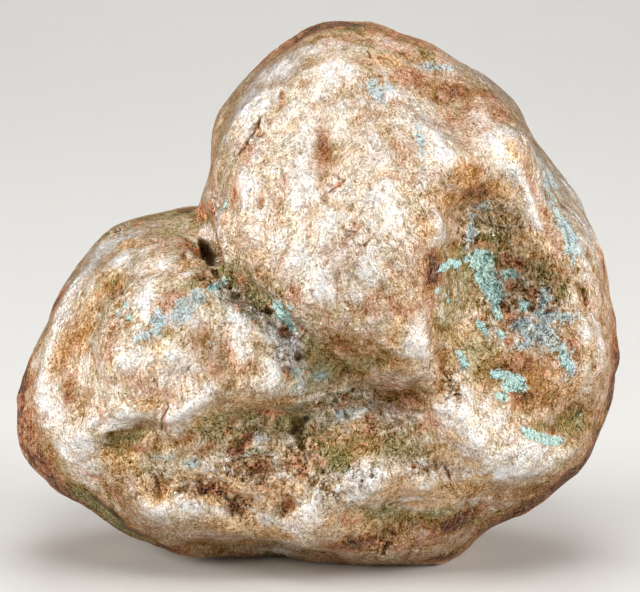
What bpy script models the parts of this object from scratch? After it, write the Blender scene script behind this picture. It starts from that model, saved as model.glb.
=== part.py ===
# A nugget of native copper, rounded by water and ice, standing on its worn foot.
# The two lobes, the fissure between them and every lump, hollow and pit are one grown piece.
# Row frame: metres, +Z up, the broad face with the fissure looks along -Y,
# and the origin is under the middle of the box, on the surface that the foot stands on.

import math

import bmesh
import bpy
import numpy as np
from mathutils import Vector, noise
from mathutils.bvhtree import BVHTree

MM = 0.001

# Driving dimensions
WIDTH = 90.0 * MM
DEPTH = 57.0 * MM
HEIGHT = 80.0 * MM
TRIANGLES = 9600  # of the finished solid
FOOT_SNAP = 0.05 * MM  # what ends this near the floor lies in the foot's flat

SPHERE_SUBDIVISIONS = 6
ROUNDNESS = 2.35  # 2 is an ellipsoid's section from front to back, more is squarer
FRONT_DEPTH = 27.5  # millimetres from the middle plane to the front
BACK_DEPTH = 26.0
MIDDLE = (0.7, 34.5)  # x and z that the outline's directions are taken from, millimetres

# The outline seen from the front, anticlockwise from the right side: x and z in millimetres
OUTLINE = (
    (44.6, 33.0),
    (43.0, 41.0),
    (40.7, 49.1),
    (35.3, 56.0),
    (32.7, 63.2),
    (29.3, 69.4),
    (22.4, 74.2),
    (15.0, 78.5),
    (7.4, 80.9),
    (0.5, 81.4),
    (-6.8, 77.6),
    (-12.6, 71.6),
    (-16.2, 64.2),
    (-17.6, 57.2),
    (-19.1, 52.9),
    (-22.8, 51.4),
    (-28.6, 50.2),
    (-34.8, 46.8),
    (-38.8, 41.2),
    (-42.0, 34.5),
    (-45.4, 26.5),
    (-45.4, 18.3),
    (-41.0, 10.4),
    (-32.8, 4.6),
    (-24.2, 1.2),
    (-14.0, -0.2),
    (0.0, -1.8),
    (13.0, -2.6),
    (20.5, -0.4),
    (25.8, 4.2),
    (32.2, 8.2),
    (37.8, 13.0),
    (41.8, 19.2),
    (44.2, 26.0),
)

# Swells and hollows, in millimetres. view: the side that a form is seen from. at: where, in that
# side's two axes (x and z from the front and back, y and z from the left and right, x and y from
# the top). reach: half-widths across and along, turned by tilt degrees. height: out of the surface.
FORMS = (
    # the dome, and the tongue that it runs down into
    dict(name="belly", view="front", at=(3.0, 60.0), reach=(13, 12), tilt=0, height=2.8),
    dict(name="brow", view="front", at=(2.0, 76.0), reach=(7, 4), tilt=10, height=1.4),
    dict(name="left rim", view="front", at=(-10.5, 69.5), reach=(3, 4.5), tilt=-25, height=1.0),
    dict(name="left cheek", view="front", at=(-10.5, 59.0), reach=(3, 4), tilt=0, height=0.8),
    dict(name="right cheek", view="front", at=(16.5, 64.5), reach=(3.4, 5), tilt=20, height=1.6),
    dict(name="tongue", view="front", at=(4.5, 50.0), reach=(8, 10), tilt=15, height=1.6),
    dict(name="tongue's end", view="front", at=(10.5, 40.0), reach=(6, 6), tilt=20, height=2.0),
    dict(name="knob", view="front", at=(13.6, 37.4), reach=(2.5, 3.8), tilt=0, height=1.8),
    dict(name="small knob", view="front", at=(16.8, 55.0), reach=(1.5, 2), tilt=15, height=0.9),
    dict(name="fold under it", view="front", at=(4.0, 31.5), reach=(8, 3.6), tilt=-22, height=-3.4),
    # the hollow on the right, its rim and the swell below it
    dict(name="hollow", view="front", at=(27.0, 46.5), reach=(6.5, 9), tilt=20, height=-7.0),
    dict(name="upper end", view="front", at=(23.0, 55.5), reach=(4, 3.6), tilt=0, height=-2.4),
    dict(name="floor", view="front", at=(24.0, 38.5), reach=(7, 5.5), tilt=0, height=-3.0),
    dict(name="step", view="front", at=(31.0, 35.5), reach=(5, 4), tilt=0, height=1.0),
    dict(name="rim knob", view="front", at=(38.6, 37.8), reach=(3, 4.5), tilt=10, height=1.5),
    dict(name="lower swell", view="front", at=(27.5, 21.5), reach=(7.5, 5), tilt=-15, height=3.2),
    dict(name="swell's brow", view="front", at=(18.0, 27.5), reach=(2.8, 2.2), tilt=-40, height=1.6),
    dict(name="lower dish", view="front", at=(37.0, 24.5), reach=(4.5, 2.8), tilt=10, height=-1.8),
    # the left lobe and the blocks between it and the tongue
    dict(name="left belly", view="front", at=(-25.0, 33.5), reach=(10, 10), tilt=0, height=2.2),
    dict(name="top lump", view="front", at=(-25.4, 43.8), reach=(2.4, 3.2), tilt=0, height=0.9),
    dict(name="middle lump", view="front", at=(-20.6, 36.0), reach=(3.4, 2.4), tilt=-10, height=1.2),
    dict(name="outer lump", view="front", at=(-29.0, 35.4), reach=(2.8, 2.2), tilt=0, height=0.8),
    dict(name="low lump", view="front", at=(-27.6, 26.8), reach=(2.6, 1.8), tilt=15, height=1.2),
    dict(name="corner", view="front", at=(-34.5, 23.0), reach=(4, 3.4), tilt=35, height=1.2),
    dict(name="inner lump", view="front", at=(-18.4, 29.2), reach=(4.2, 1.9), tilt=42, height=1.6),
    dict(name="middle block", view="front", at=(-8.0, 35.0), reach=(4.6, 4.6), tilt=0, height=1.6),
    dict(name="low block", view="front", at=(-7.6, 31.0), reach=(3.4, 2.4), tilt=0, height=0.8),
    # the trough across the middle
    dict(name="trough", view="front", at=(-4.0, 25.0), reach=(13, 3.8), tilt=6, height=-3.2),
    dict(name="right end", view="front", at=(11.0, 28.0), reach=(6, 2.6), tilt=-4, height=-2.2),
    # the foot
    dict(name="left foot lump", view="front", at=(-22.0, 12.2), reach=(5.5, 2.4), tilt=6, height=1.5),
    dict(name="second foot lump", view="front", at=(-13.4, 10.4), reach=(2.6, 1.5), tilt=-35, height=1.1),
    dict(name="middle foot lump", view="front", at=(-1.2, 12.4), reach=(2.8, 3.6), tilt=-15, height=1.9),
    dict(name="fourth foot lump", view="front", at=(5.5, 16.8), reach=(3.4, 3), tilt=0, height=1.8),
    dict(name="right foot lump", view="front", at=(14.6, 16.6), reach=(3.2, 2), tilt=-30, height=1.0),
    dict(name="foot dish", view="front", at=(11.0, 10.6), reach=(6.5, 2.6), tilt=-6, height=-1.8),
    dict(name="lower edge", view="front", at=(-10.0, 4.0), reach=(9, 3), tilt=0, height=-2.4),
    dict(name="left foot dish", view="front", at=(-31.5, 12.8), reach=(4, 2.6), tilt=-25, height=-1.0),
    # the back, the two ends and the crown
    dict(name="back belly", view="back", at=(8, 44), reach=(17, 15), tilt=10, height=2.5),
    dict(name="back hollow", view="back", at=(-12, 33), reach=(9, 12), tilt=25, height=-4.5),
    dict(name="back shoulder", view="back", at=(24, 30), reach=(9, 8), tilt=0, height=2.4),
    dict(name="back dish", view="back", at=(14, 62), reach=(8, 5), tilt=-30, height=-2.2),
    dict(name="back heel", view="back", at=(-6, 12), reach=(12, 5), tilt=5, height=2.2),
    dict(name="back left lump", view="back", at=(-30, 34), reach=(7, 6), tilt=0, height=1.8),
    dict(name="back small dish", view="back", at=(30, 46), reach=(4, 6), tilt=-15, height=-1.6),
    dict(name="left end dish", view="left", at=(4, 26), reach=(6, 8), tilt=0, height=-1.8),
    dict(name="left end lump", view="left", at=(-8, 18), reach=(5, 5), tilt=0, height=1.0),
    dict(name="right side dish", view="right", at=(10, 34), reach=(6, 10), tilt=15, height=-2.4),
    dict(name="right side lump", view="right", at=(6, 54), reach=(6, 5), tilt=0, height=1.4),
    dict(name="crown dish", view="top", at=(6, 8), reach=(8, 5), tilt=-15, height=-1.6),
)
FORM_FALL = 0.7  # how fast a form dies away past its reach
FORM_THROUGH = 1.4  # how far it holds into the metal, against its longer reach

# Grooves, and where deep is negative ridges, along a line of points. width is half the width.
# undercut leans a groove's bottom upwards, under the lip above it.
STROKES = (
    # the fissure between the lobes
    dict(name="fissure's start", view="front",
         at=((-18.4, 53.6), (-17.4, 51.2), (-16.2, 48.6)),
         width=1.9, deep=3.4, undercut=0.2),
    dict(name="fissure", view="front",
         at=((-16.6, 49.6), (-15.0, 47.0), (-12.4, 45.2), (-9.4, 43.6), (-6.4, 41.5), (-4.4, 38.8),
             (-3.0, 36.0)),
         width=1.8, deep=3.6, undercut=0.5),
    dict(name="fissure's fold", view="front",
         at=((-4.2, 38.4), (-2.0, 35.0), (1.0, 33.0), (5.0, 31.6)),
         width=2.6, deep=1.6, undercut=0.3),
    dict(name="notch over the top", view="back",
         at=((-18.0, 55.0), (-15.0, 52.0), (-11.0, 47.0), (-8.0, 40.0)),
         width=5.0, deep=2.8, undercut=0.0),
    # round the hollow
    dict(name="hollow's ridge", view="front",
         at=((25.5, 69.5), (28.2, 64.5), (30.8, 58.5), (33.4, 52.0), (36.2, 45.5)),
         width=4.2, deep=-2.8, undercut=0.0),
    dict(name="groove behind the ridge", view="front",
         at=((30.6, 65.5), (32.6, 61.0), (35.0, 54.5), (36.8, 49.0), (38.0, 44.5)),
         width=2.9, deep=1.7, undercut=0.0),
    dict(name="slope over the hollow", view="front",
         at=((16.0, 61.5), (21.0, 62.8), (25.5, 61.4)),
         width=3.6, deep=-1.2, undercut=0.0),
    dict(name="beside the lower swell", view="front",
         at=((16.5, 23.6), (19.0, 20.4), (21.0, 17.0)),
         width=2.6, deep=1.2, undercut=0.0),
    # over the dome
    dict(name="crown groove", view="front",
         at=((10.5, 78.4), (16.0, 76.4), (22.5, 73.4)),
         width=1.8, deep=0.9, undercut=0.0),
    dict(name="brow valley", view="front",
         at=((11.0, 74.0), (17.0, 72.0), (23.0, 71.0)),
         width=4.0, deep=1.4, undercut=0.0),
    dict(name="middle furrow", view="front",
         at=((-0.4, 69.5), (0.2, 65.0), (1.6, 60.0), (4.0, 55.0)),
         width=2.8, deep=1.2, undercut=0.0),
    dict(name="left furrow", view="front",
         at=((-6.4, 71.5), (-8.0, 66.0), (-7.4, 60.0), (-5.6, 54.0)),
         width=2.4, deep=0.9, undercut=0.0),
    dict(name="right furrow", view="front",
         at=((8.6, 72.0), (10.8, 67.0), (11.4, 61.0)),
         width=2.8, deep=1.0, undercut=0.0),
    # round the left lobe
    dict(name="inside the left rim", view="front",
         at=((-31.5, 44.5), (-34.2, 37.5), (-35.2, 31.0), (-31.8, 25.6)),
         width=3.0, deep=1.2, undercut=0.0),
    dict(name="under the left lobe", view="front",
         at=((-32.0, 21.2), (-29.2, 22.8), (-25.6, 23.8), (-21.5, 23.4)),
         width=1.9, deep=2.2, undercut=0.3),
    dict(name="left lobe's seam", view="front",
         at=((-15.4, 43.4), (-14.0, 38.0), (-13.4, 33.0)),
         width=2.0, deep=1.0, undercut=0.0),
    # the trough and the foot
    dict(name="trough's bed", view="front",
         at=((-14.0, 24.6), (-8.6, 25.4), (-3.2, 24.6), (2.4, 26.8), (8.0, 28.0), (14.0, 28.0)),
         width=2.2, deep=1.6, undercut=0.2),
    dict(name="foot crease", view="front",
         at=((8.2, 5.4), (9.4, 7.8), (11.4, 10.0)),
         width=1.4, deep=1.1, undercut=0.0),
    dict(name="foot ridge", view="front",
         at=((-26.0, 9.8), (-16.0, 7.4), (-4.0, 7.4), (6.0, 7.2), (16.0, 8.4)),
         width=6.0, deep=-1.4, undercut=0.0),
    # the back
    dict(name="back fissure", view="back",
         at=((4.0, 24.0), (9.0, 27.5), (15.0, 26.5), (21.0, 30.0), (26.0, 37.0)),
         width=2.3, deep=2.6, undercut=0.2),
    dict(name="back ridge", view="back",
         at=((-24.0, 58.0), (-16.0, 48.0), (-2.0, 40.0), (8.0, 36.0)),
         width=6.0, deep=-1.8, undercut=0.0),
    dict(name="back crease", view="back",
         at=((-30.0, 22.0), (-24.0, 20.0), (-17.0, 22.0)),
         width=1.8, deep=1.4, undercut=0.0),
)
STROKE_END = 0.35  # share of its depth that a stroke keeps at its two ends
STROKE_RISE = 0.7  # of the way to the next point, where it reaches its full depth

# Open pits where softer mineral has gone, with the same keys as the forms; deep is into the surface
PITS = (
    dict(name="crevice mouth", view="front", at=(-16.6, 49.2), reach=(1.6, 2.2), tilt=-25, deep=2.6),
    dict(name="black hole", view="front", at=(-3.0, 24.4), reach=(2, 1.1), tilt=-55, deep=2.6),
    dict(name="slit pit", view="front", at=(-12.2, 22.2), reach=(2.4, 0.9), tilt=45, deep=1.9),
    dict(name="crumbled pit", view="front", at=(-9.6, 18.0), reach=(2.8, 1.6), tilt=10, deep=1.8),
    dict(name="long pit", view="front", at=(-16.8, 15.4), reach=(3.4, 1.1), tilt=-8, deep=1.5),
    dict(name="low pit", view="front", at=(-12.4, 12.8), reach=(2.2, 1.3), tilt=-35, deep=2.0),
    dict(name="orange pit", view="front", at=(-5.0, 12.8), reach=(1.7, 0.9), tilt=65, deep=1.9),
    dict(name="left pit", view="front", at=(-23.6, 15.6), reach=(1.5, 0.6), tilt=85, deep=1.2),
    dict(name="hood pit", view="front", at=(-5.6, 39.2), reach=(1.2, 1.6), tilt=-15, deep=2.2),
    dict(name="block pit", view="front", at=(-4.6, 35.0), reach=(1.6, 0.9), tilt=40, deep=1.3),
    dict(name="left lobe slit", view="front", at=(-29.6, 44.8), reach=(0.7, 1.8), tilt=8, deep=1.2),
    dict(name="dome slit", view="front", at=(-10.4, 66.6), reach=(3.4, 0.8), tilt=58, deep=1.1),
    dict(name="dome pit", view="front", at=(-5.8, 72.0), reach=(0.9, 1.2), tilt=0, deep=1.0),
    dict(name="hollow pit", view="front", at=(27.0, 45.6), reach=(2.2, 1.6), tilt=0, deep=1.0),
    dict(name="rim slit", view="front", at=(38.4, 43.0), reach=(0.7, 2.4), tilt=12, deep=1.1),
    dict(name="swell pit", view="front", at=(14.6, 18.8), reach=(2, 0.8), tilt=-50, deep=1.0),
    dict(name="back pit", view="back", at=(9.0, 25.6), reach=(2.4, 1.6), tilt=20, deep=2.0),
    dict(name="back long pit", view="back", at=(16.0, 22.0), reach=(3.2, 1.6), tilt=-10, deep=1.6),
    dict(name="back high pit", view="back", at=(-8.0, 62.0), reach=(1.8, 1.2), tilt=40, deep=1.3),
    dict(name="back hollow pit", view="back", at=(-14.0, 30.0), reach=(2.2, 1.4), tilt=10, deep=1.4),
    dict(name="left end pit", view="left", at=(2.0, 30.0), reach=(1.6, 2.4), tilt=0, deep=1.2),
    dict(name="right side pit", view="right", at=(12.0, 30.0), reach=(1.4, 2.6), tilt=10, deep=1.3),
    dict(name="crown pit", view="top", at=(-4.0, 6.0), reach=(2.2, 1.2), tilt=30, deep=1.1),
)

# The battered skin: wavelength and height of each size of lump, millimetres
BATTERING = ((15.0, 0.85), (7.0, 0.5), (3.6, 0.3))
BATTERING_PLACE = (3.1, 7.7)  # where in the noise the lumps are taken from

# The line of sight of each view, and the axes that its two numbers are measured along
VIEWS = {
    "front": (Vector((0, 1, 0)), 0, 2),
    "back": (Vector((0, -1, 0)), 0, 2),
    "left": (Vector((1, 0, 0)), 1, 2),
    "right": (Vector((-1, 0, 0)), 1, 2),
    "top": (Vector((0, 0, -1)), 0, 1),
}
FAR = 200.0  # millimetres, well outside the nugget


def clear_scene():
    for obj in list(bpy.data.objects):
        bpy.data.objects.remove(obj, do_unlink=True)


def make_collection(name):
    collection = bpy.data.collections.new(name)
    bpy.context.scene.collection.children.link(collection)
    return collection


def points_of(bm):
    return np.array([vertex.co for vertex in bm.verts])


def set_points(bm, points):
    for vertex, point in zip(bm.verts, points):
        vertex.co = point
    bm.normal_update()


def outline_radius(angles):
    """The outline's distance from MIDDLE in each direction, on a smooth closed curve."""
    offsets = np.array(OUTLINE) - np.array(MIDDLE)
    known = np.arctan2(offsets[:, 1], offsets[:, 0])
    order = np.argsort(known)
    known = known[order]
    radii = np.hypot(offsets[:, 0], offsets[:, 1])[order]
    count = len(known)
    known = np.concatenate([known - 2 * math.pi, known, known + 2 * math.pi])
    radii = np.tile(radii, 3)
    slopes = np.gradient(radii, known)
    start = np.clip(np.searchsorted(known, angles) - 1, 0, 3 * count - 2)
    gap = known[start + 1] - known[start]
    t = (angles - known[start]) / gap
    return (
        (2 * t**3 - 3 * t**2 + 1) * radii[start]
        + (t**3 - 2 * t**2 + t) * gap * slopes[start]
        + (3 * t**2 - 2 * t**3) * radii[start + 1]
        + (t**3 - t**2) * gap * slopes[start + 1]
    )


def pull_to_outline(bm):
    """Draws the sphere out to the outline, with a full round section from front to back."""
    on_sphere = points_of(bm)
    across = np.hypot(on_sphere[:, 0], on_sphere[:, 2])
    through = on_sphere[:, 1]
    squared_off = (across**ROUNDNESS + np.abs(through) ** ROUNDNESS) ** (-1 / ROUNDNESS)
    angles = np.arctan2(on_sphere[:, 2], on_sphere[:, 0])
    reach = outline_radius(angles) * across * squared_off
    depth = np.where(through < 0, FRONT_DEPTH, BACK_DEPTH) * through * squared_off
    set_points(bm, np.column_stack([
        MIDDLE[0] + reach * np.cos(angles),
        depth,
        MIDDLE[1] + reach * np.sin(angles),
    ]))


def seen_point(tree, view, at):
    """The point and normal of the surface at two coordinates of a view."""
    sight, first, second = VIEWS[view]
    start = -FAR * sight
    start[first], start[second] = at
    point, normal, _, _ = tree.ray_cast(start, sight)
    if point is None:
        point, normal, _, _ = tree.find_nearest(start + FAR * sight)
    return np.array(point), np.array(normal)


def tangents(view, normal, tilt):
    """Two directions along the surface: the view's first axis turned by tilt, and the one across it."""
    _, first, second = VIEWS[view]
    axis, upright = np.eye(3)[first], np.eye(3)[second]
    turn = math.radians(tilt)
    along = math.cos(turn) * axis + math.sin(turn) * upright
    along = along - normal * (along @ normal)
    along /= np.linalg.norm(along)
    return along, np.cross(normal, along)


def oval(points, tree, form):
    """How far each point is from a form's middle, as a share of its reach, and the form's normal."""
    middle, normal = seen_point(tree, form["view"], form["at"])
    along, across = tangents(form["view"], normal, form["tilt"])
    offset = points - middle
    wide, narrow = form["reach"]
    through = FORM_THROUGH * max(form["reach"])
    share = np.linalg.norm(
        np.column_stack([offset @ along / wide, offset @ across / narrow, offset @ normal / through]),
        axis=1,
    )
    return share, normal


def shape_forms(bm):
    tree = BVHTree.FromBMesh(bm)
    points = points_of(bm)
    move = np.zeros_like(points)
    for form in FORMS:
        share, normal = oval(points, tree, form)
        move += np.exp(-FORM_FALL * share**2)[:, None] * form["height"] * normal
    set_points(bm, points + move)


def nearest_on_line(points, line):
    """Distance from each point to a line through several points, and how far along it that is."""
    best = np.full(len(points), np.inf)
    place = np.zeros(len(points))
    for index, (start, end) in enumerate(zip(line[:-1], line[1:])):
        run = end - start
        t = np.clip((points - start) @ run / (run @ run), 0, 1)
        distance = np.linalg.norm(points - start - t[:, None] * run, axis=1)
        closer = distance < best
        best = np.where(closer, distance, best)
        place = np.where(closer, index + t, place)
    return best, place


def draw_strokes(bm):
    for stroke in STROKES:
        tree = BVHTree.FromBMesh(bm)
        points = points_of(bm)
        seen = [seen_point(tree, stroke["view"], at) for at in stroke["at"]]
        line = np.array([point for point, _ in seen])
        inward = -np.mean([normal for _, normal in seen], axis=0)
        inward += stroke["undercut"] * np.array((0, 0, 1))
        inward /= np.linalg.norm(inward)
        distance, place = nearest_on_line(points, line)
        ends = np.clip(np.minimum(place, len(line) - 1 - place) / STROKE_RISE, 0, 1)
        fade = STROKE_END + (1 - STROKE_END) * ends * ends * (3 - 2 * ends)
        section = 1 / (1 + (distance / stroke["width"]) ** 4)
        section *= np.clip(2 - distance / (2 * stroke["width"]), 0, 1)
        set_points(bm, points + (stroke["deep"] * fade * section)[:, None] * inward)


def press_pits(bm):
    tree = BVHTree.FromBMesh(bm)
    points = points_of(bm)
    move = np.zeros_like(points)
    for pit in PITS:
        share, normal = oval(points, tree, pit)
        move -= (pit["deep"] / (1 + share**4))[:, None] * normal
    set_points(bm, points + move)


def batter(bm):
    """Uneven lumps of three sizes, as a tumbled lump of soft metal has all over."""
    for length, height in BATTERING:
        shift = Vector((*BATTERING_PLACE, length))
        for vertex in bm.verts:
            lump = noise.noise(vertex.co / length + shift)
            vertex.co += vertex.normal * (height * lump)
        bm.normal_update()


def fit_to_size(bm):
    """Wears the foot flat and brings the box to the driving dimensions, origin under its middle."""
    points = points_of(bm)
    points[:, 2] = np.maximum(points[:, 2], 0.0)
    low, high = points.min(axis=0), points.max(axis=0)
    scale = np.array((WIDTH, DEPTH, HEIGHT)) / (high - low)
    base = np.array(((low[0] + high[0]) / 2, (low[1] + high[1]) / 2, low[2]))
    set_points(bm, (points - base) * scale)


def thin_out(obj):
    """Keeps the triangles where the surface turns, and few where it is even."""
    thin = obj.modifiers.new("thin out", "DECIMATE")
    thin.ratio = TRIANGLES / len(obj.data.polygons)
    evaluated = obj.evaluated_get(bpy.context.evaluated_depsgraph_get())
    thinned = bpy.data.meshes.new_from_object(evaluated)
    obj.modifiers.remove(thin)
    for vertex in thinned.vertices:
        if vertex.co.z < FOOT_SNAP:
            vertex.co.z = 0.0
    thinned.name = obj.data.name
    obj.data = thinned


def copper():
    material = bpy.data.materials.new("worn copper")
    material.use_nodes = True
    shader = material.node_tree.nodes["Principled BSDF"]
    shader.inputs["Base Color"].default_value = (0.56, 0.36, 0.23, 1)
    shader.inputs["Metallic"].default_value = 0.9
    shader.inputs["Roughness"].default_value = 0.42
    return material


def make_nugget(collection):
    bm = bmesh.new()
    bmesh.ops.create_icosphere(bm, subdivisions=SPHERE_SUBDIVISIONS, radius=1.0)
    pull_to_outline(bm)
    shape_forms(bm)
    draw_strokes(bm)
    batter(bm)
    press_pits(bm)
    fit_to_size(bm)
    mesh = bpy.data.meshes.new("copper_nugget")
    bm.to_mesh(mesh)
    bm.free()
    nugget = bpy.data.objects.new("copper_nugget", mesh)
    collection.objects.link(nugget)
    thin_out(nugget)
    nugget.data.materials.append(copper())
    nugget.data.shade_smooth()
    return nugget


def main():
    clear_scene()
    make_nugget(make_collection("copper ore specimen"))


main()
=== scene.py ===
import math

import bmesh
import bpy
import numpy as np
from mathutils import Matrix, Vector, noise
from mathutils.bvhtree import BVHTree


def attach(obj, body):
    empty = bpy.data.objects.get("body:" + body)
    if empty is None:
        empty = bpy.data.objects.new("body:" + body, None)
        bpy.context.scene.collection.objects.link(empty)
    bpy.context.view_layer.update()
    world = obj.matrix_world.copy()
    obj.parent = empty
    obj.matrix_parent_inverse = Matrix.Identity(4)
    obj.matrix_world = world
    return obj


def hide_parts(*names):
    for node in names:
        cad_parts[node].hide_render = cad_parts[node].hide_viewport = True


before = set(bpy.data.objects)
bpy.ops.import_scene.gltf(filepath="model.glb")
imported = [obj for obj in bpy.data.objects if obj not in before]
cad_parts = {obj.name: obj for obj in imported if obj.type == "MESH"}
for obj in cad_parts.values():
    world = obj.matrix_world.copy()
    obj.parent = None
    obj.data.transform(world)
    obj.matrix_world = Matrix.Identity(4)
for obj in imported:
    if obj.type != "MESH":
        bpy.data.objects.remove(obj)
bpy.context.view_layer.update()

mm = 0.001

# Where the photo was taken from; frameWidth is what the picture spans at the target
shot = {
    "target": Vector((0.0004, 0.0, 0.0390)),
    "elevation": 12,
    "distance": 0.52,
    "frameWidth": 0.096,
    "sensor": 36,
    "picture": (640, 592),
}
tilt = math.radians(shot["elevation"])
shotBack = Vector((0, -math.cos(tilt), math.sin(tilt)))
shotRight = Vector((1, 0, 0))
shotUp = shotRight.cross(-shotBack)
shotEye = shot["target"] + shotBack * shot["distance"]
pixelAngle = shot["frameWidth"] / shot["distance"] / shot["picture"][0]


def makeCamera():
    camera = bpy.data.cameras.new("shot")
    camera.sensor_width = shot["sensor"]
    camera.lens = shot["sensor"] * shot["distance"] / shot["frameWidth"]
    camera.clip_start = 0.01
    holder = bpy.data.objects.new("shot", camera)
    bpy.context.scene.collection.objects.link(holder)
    holder.location = shotEye
    holder.rotation_mode = "QUATERNION"
    holder.rotation_quaternion = (-shotBack).to_track_quat("-Z", "Y")
    bpy.context.scene.camera = holder


# Relief: the nugget's fine forms

nugget = {
    "voxel": 0.31,  # millimetres between points while it is shaped
    "quickVoxel": 0.6,
    "smoothing": 26,  # passes that take the solid's facets out
    "quickSmoothing": 6,
    "triangles": 196000,
}

# Sides that a place can be given from, with the way of sight and the two axes of its places, which
# are in millimetres. Places on the side "photo" are pixels
sides = {
    "back": (Vector((0, -1, 0)), (0, 2)),
    "left": (Vector((1, 0, 0)), (1, 2)),
    "right": (Vector((-1, 0, 0)), (1, 2)),
    "top": (Vector((0, 0, -1)), (0, 1)),
    "under": (Vector((0, 0, 1)), (0, 1)),
}


def evaluatedMesh(obj, name):
    mesh = bpy.data.meshes.new_from_object(obj.evaluated_get(bpy.context.evaluated_depsgraph_get()))
    mesh.name = name
    return mesh


def swapMesh(obj, name):
    # what the modifiers made becomes the object's own mesh
    mesh = evaluatedMesh(obj, name)
    obj.modifiers.clear()
    old = obj.data
    obj.data = mesh
    bpy.data.meshes.remove(old)


def remesh(obj, voxel):
    grid = obj.modifiers.new("even", "REMESH")
    grid.mode = "VOXEL"
    grid.voxel_size = voxel * mm
    swapMesh(obj, obj.name)


def addSmoothing(obj, passes):
    soften = obj.modifiers.new("soften", "SMOOTH")
    soften.factor = 0.5
    soften.iterations = passes


def copyOfNode(node):
    bm = bmesh.new()
    bm.from_mesh(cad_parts[node].data)
    bmesh.ops.remove_doubles(bm, verts=bm.verts, dist=0.001 * mm)
    mesh = bpy.data.meshes.new("copperNugget")
    bm.to_mesh(mesh)
    bm.free()
    obj = bpy.data.objects.new("copperNugget", mesh)
    bpy.context.scene.collection.objects.link(obj)
    return obj


def pointsOf(mesh):
    flat = np.empty(len(mesh.vertices) * 3)
    mesh.vertices.foreach_get("co", flat)
    return flat.reshape(-1, 3)


def normalsOf(mesh):
    flat = np.empty(len(mesh.vertices) * 3)
    mesh.vertex_normals.foreach_get("vector", flat)
    return flat.reshape(-1, 3)


def setPoints(mesh, points):
    points[:, 2] = np.maximum(points[:, 2], 0)  # nothing goes below the floor
    mesh.vertices.foreach_set("co", points.ravel())
    mesh.update()


class Surface:
    # finds places on the nugget as it was when this was made
    def __init__(self, obj):
        self.tree = BVHTree.FromObject(obj, bpy.context.evaluated_depsgraph_get())

    def place(self, side, at):
        if side == "photo":
            across = (at[0] - shot["picture"][0] / 2) * pixelAngle
            down = (at[1] - shot["picture"][1] / 2) * pixelAngle
            start, sight = shotEye, (shotRight * across - shotUp * down - shotBack).normalized()
        else:
            sight, axes = sides[side]
            start = -sight
            start[axes[0]], start[axes[1]] = at[0] * mm, at[1] * mm
        spot, normal, _, _ = self.tree.ray_cast(start, sight)
        if spot is None:
            # the sight line passes beside the nugget: take the nearest place
            beside = start + sight * (shot["distance"] if side == "photo" else 1)
            spot, normal, _, _ = self.tree.find_nearest(beside)
        return np.array(spot), np.array(normal)

    def line(self, side, places):
        found = [self.place(side, at) for at in places]
        return np.array([spot for spot, _ in found]), np.array([normal for _, normal in found])


def alongLine(points, line):
    # distance to a line through several points, and how far along it the nearest place is
    best = np.full(len(points), np.inf)
    where = np.zeros(len(points))
    for index in range(len(line) - 1):
        run = line[index + 1] - line[index]
        share = np.clip((points - line[index]) @ run / (run @ run), 0, 1)
        distance = np.linalg.norm(points - line[index] - share[:, None] * run, axis=1)
        closer = distance < best
        best[closer] = distance[closer]
        where[closer] = (index + share)[closer]
    return best, where


def endFade(where, line, speed, least=0.0):
    # 1 along a line, and falling off towards its two ends
    return np.clip(np.minimum(where, len(line) - 1 - where) * speed, least, 1)


def ovalMark(points, side, x, y, wide, tall, turn):
    # how far points are from an oval mark's middle, as a share of its half-widths, which are in
    # millimetres and turned by that many degrees; and the skin's normal there
    spot, normal = surface.place(side, (x, y))
    across = np.cross(normal, (0.0, 0.0, 1.0))
    onTop = np.linalg.norm(across) < 0.2  # the skin lies level there, so there is no up along it
    across = np.array((1.0, 0.0, 0.0)) if onTop else -across
    across -= normal * (across @ normal)
    across /= np.linalg.norm(across)
    upward = np.cross(normal, across)
    angle = math.radians(turn)
    first = math.cos(angle) * across - math.sin(angle) * upward
    second = np.cross(normal, first)
    offset = points - spot
    deep = max(wide * mm, tall * mm) * 1.5
    share = (offset @ first / (wide * mm)) ** 2 + (offset @ second / (tall * mm)) ** 2
    return np.sqrt(share + (offset @ normal / deep) ** 2), normal


def noiseAt(points, size, shift=0.0):
    # noise from about -1 to 1 with lumps of that many millimetres
    turn = Vector((shift, shift * 1.7, -shift))
    return np.array([noise.noise(Vector(point) / (size * mm) + turn) for point in points])


def seamsAt(points, size, shift):
    # how far points are from the seams between broken lumps, as a share of the lumps' size
    turn = Vector((shift, -shift, shift * 0.6))
    found = [noise.voronoi(Vector(point) / (size * mm) + turn)[0] for point in points]
    return np.array([near[1] - near[0] for near in found])


print("nugget: taking the solid's form")
copperNugget = copyOfNode("copper_nugget")
voxel = nugget["voxel"]
remesh(copperNugget, voxel)
addSmoothing(copperNugget, nugget["smoothing"])
swapMesh(copperNugget, copperNugget.name)
surface = Surface(copperNugget)
print("nugget:", len(copperNugget.data.vertices), "points")

# Every oval mark below is given as x, y, half-width, half-height and turn, and then what its kind says

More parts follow.
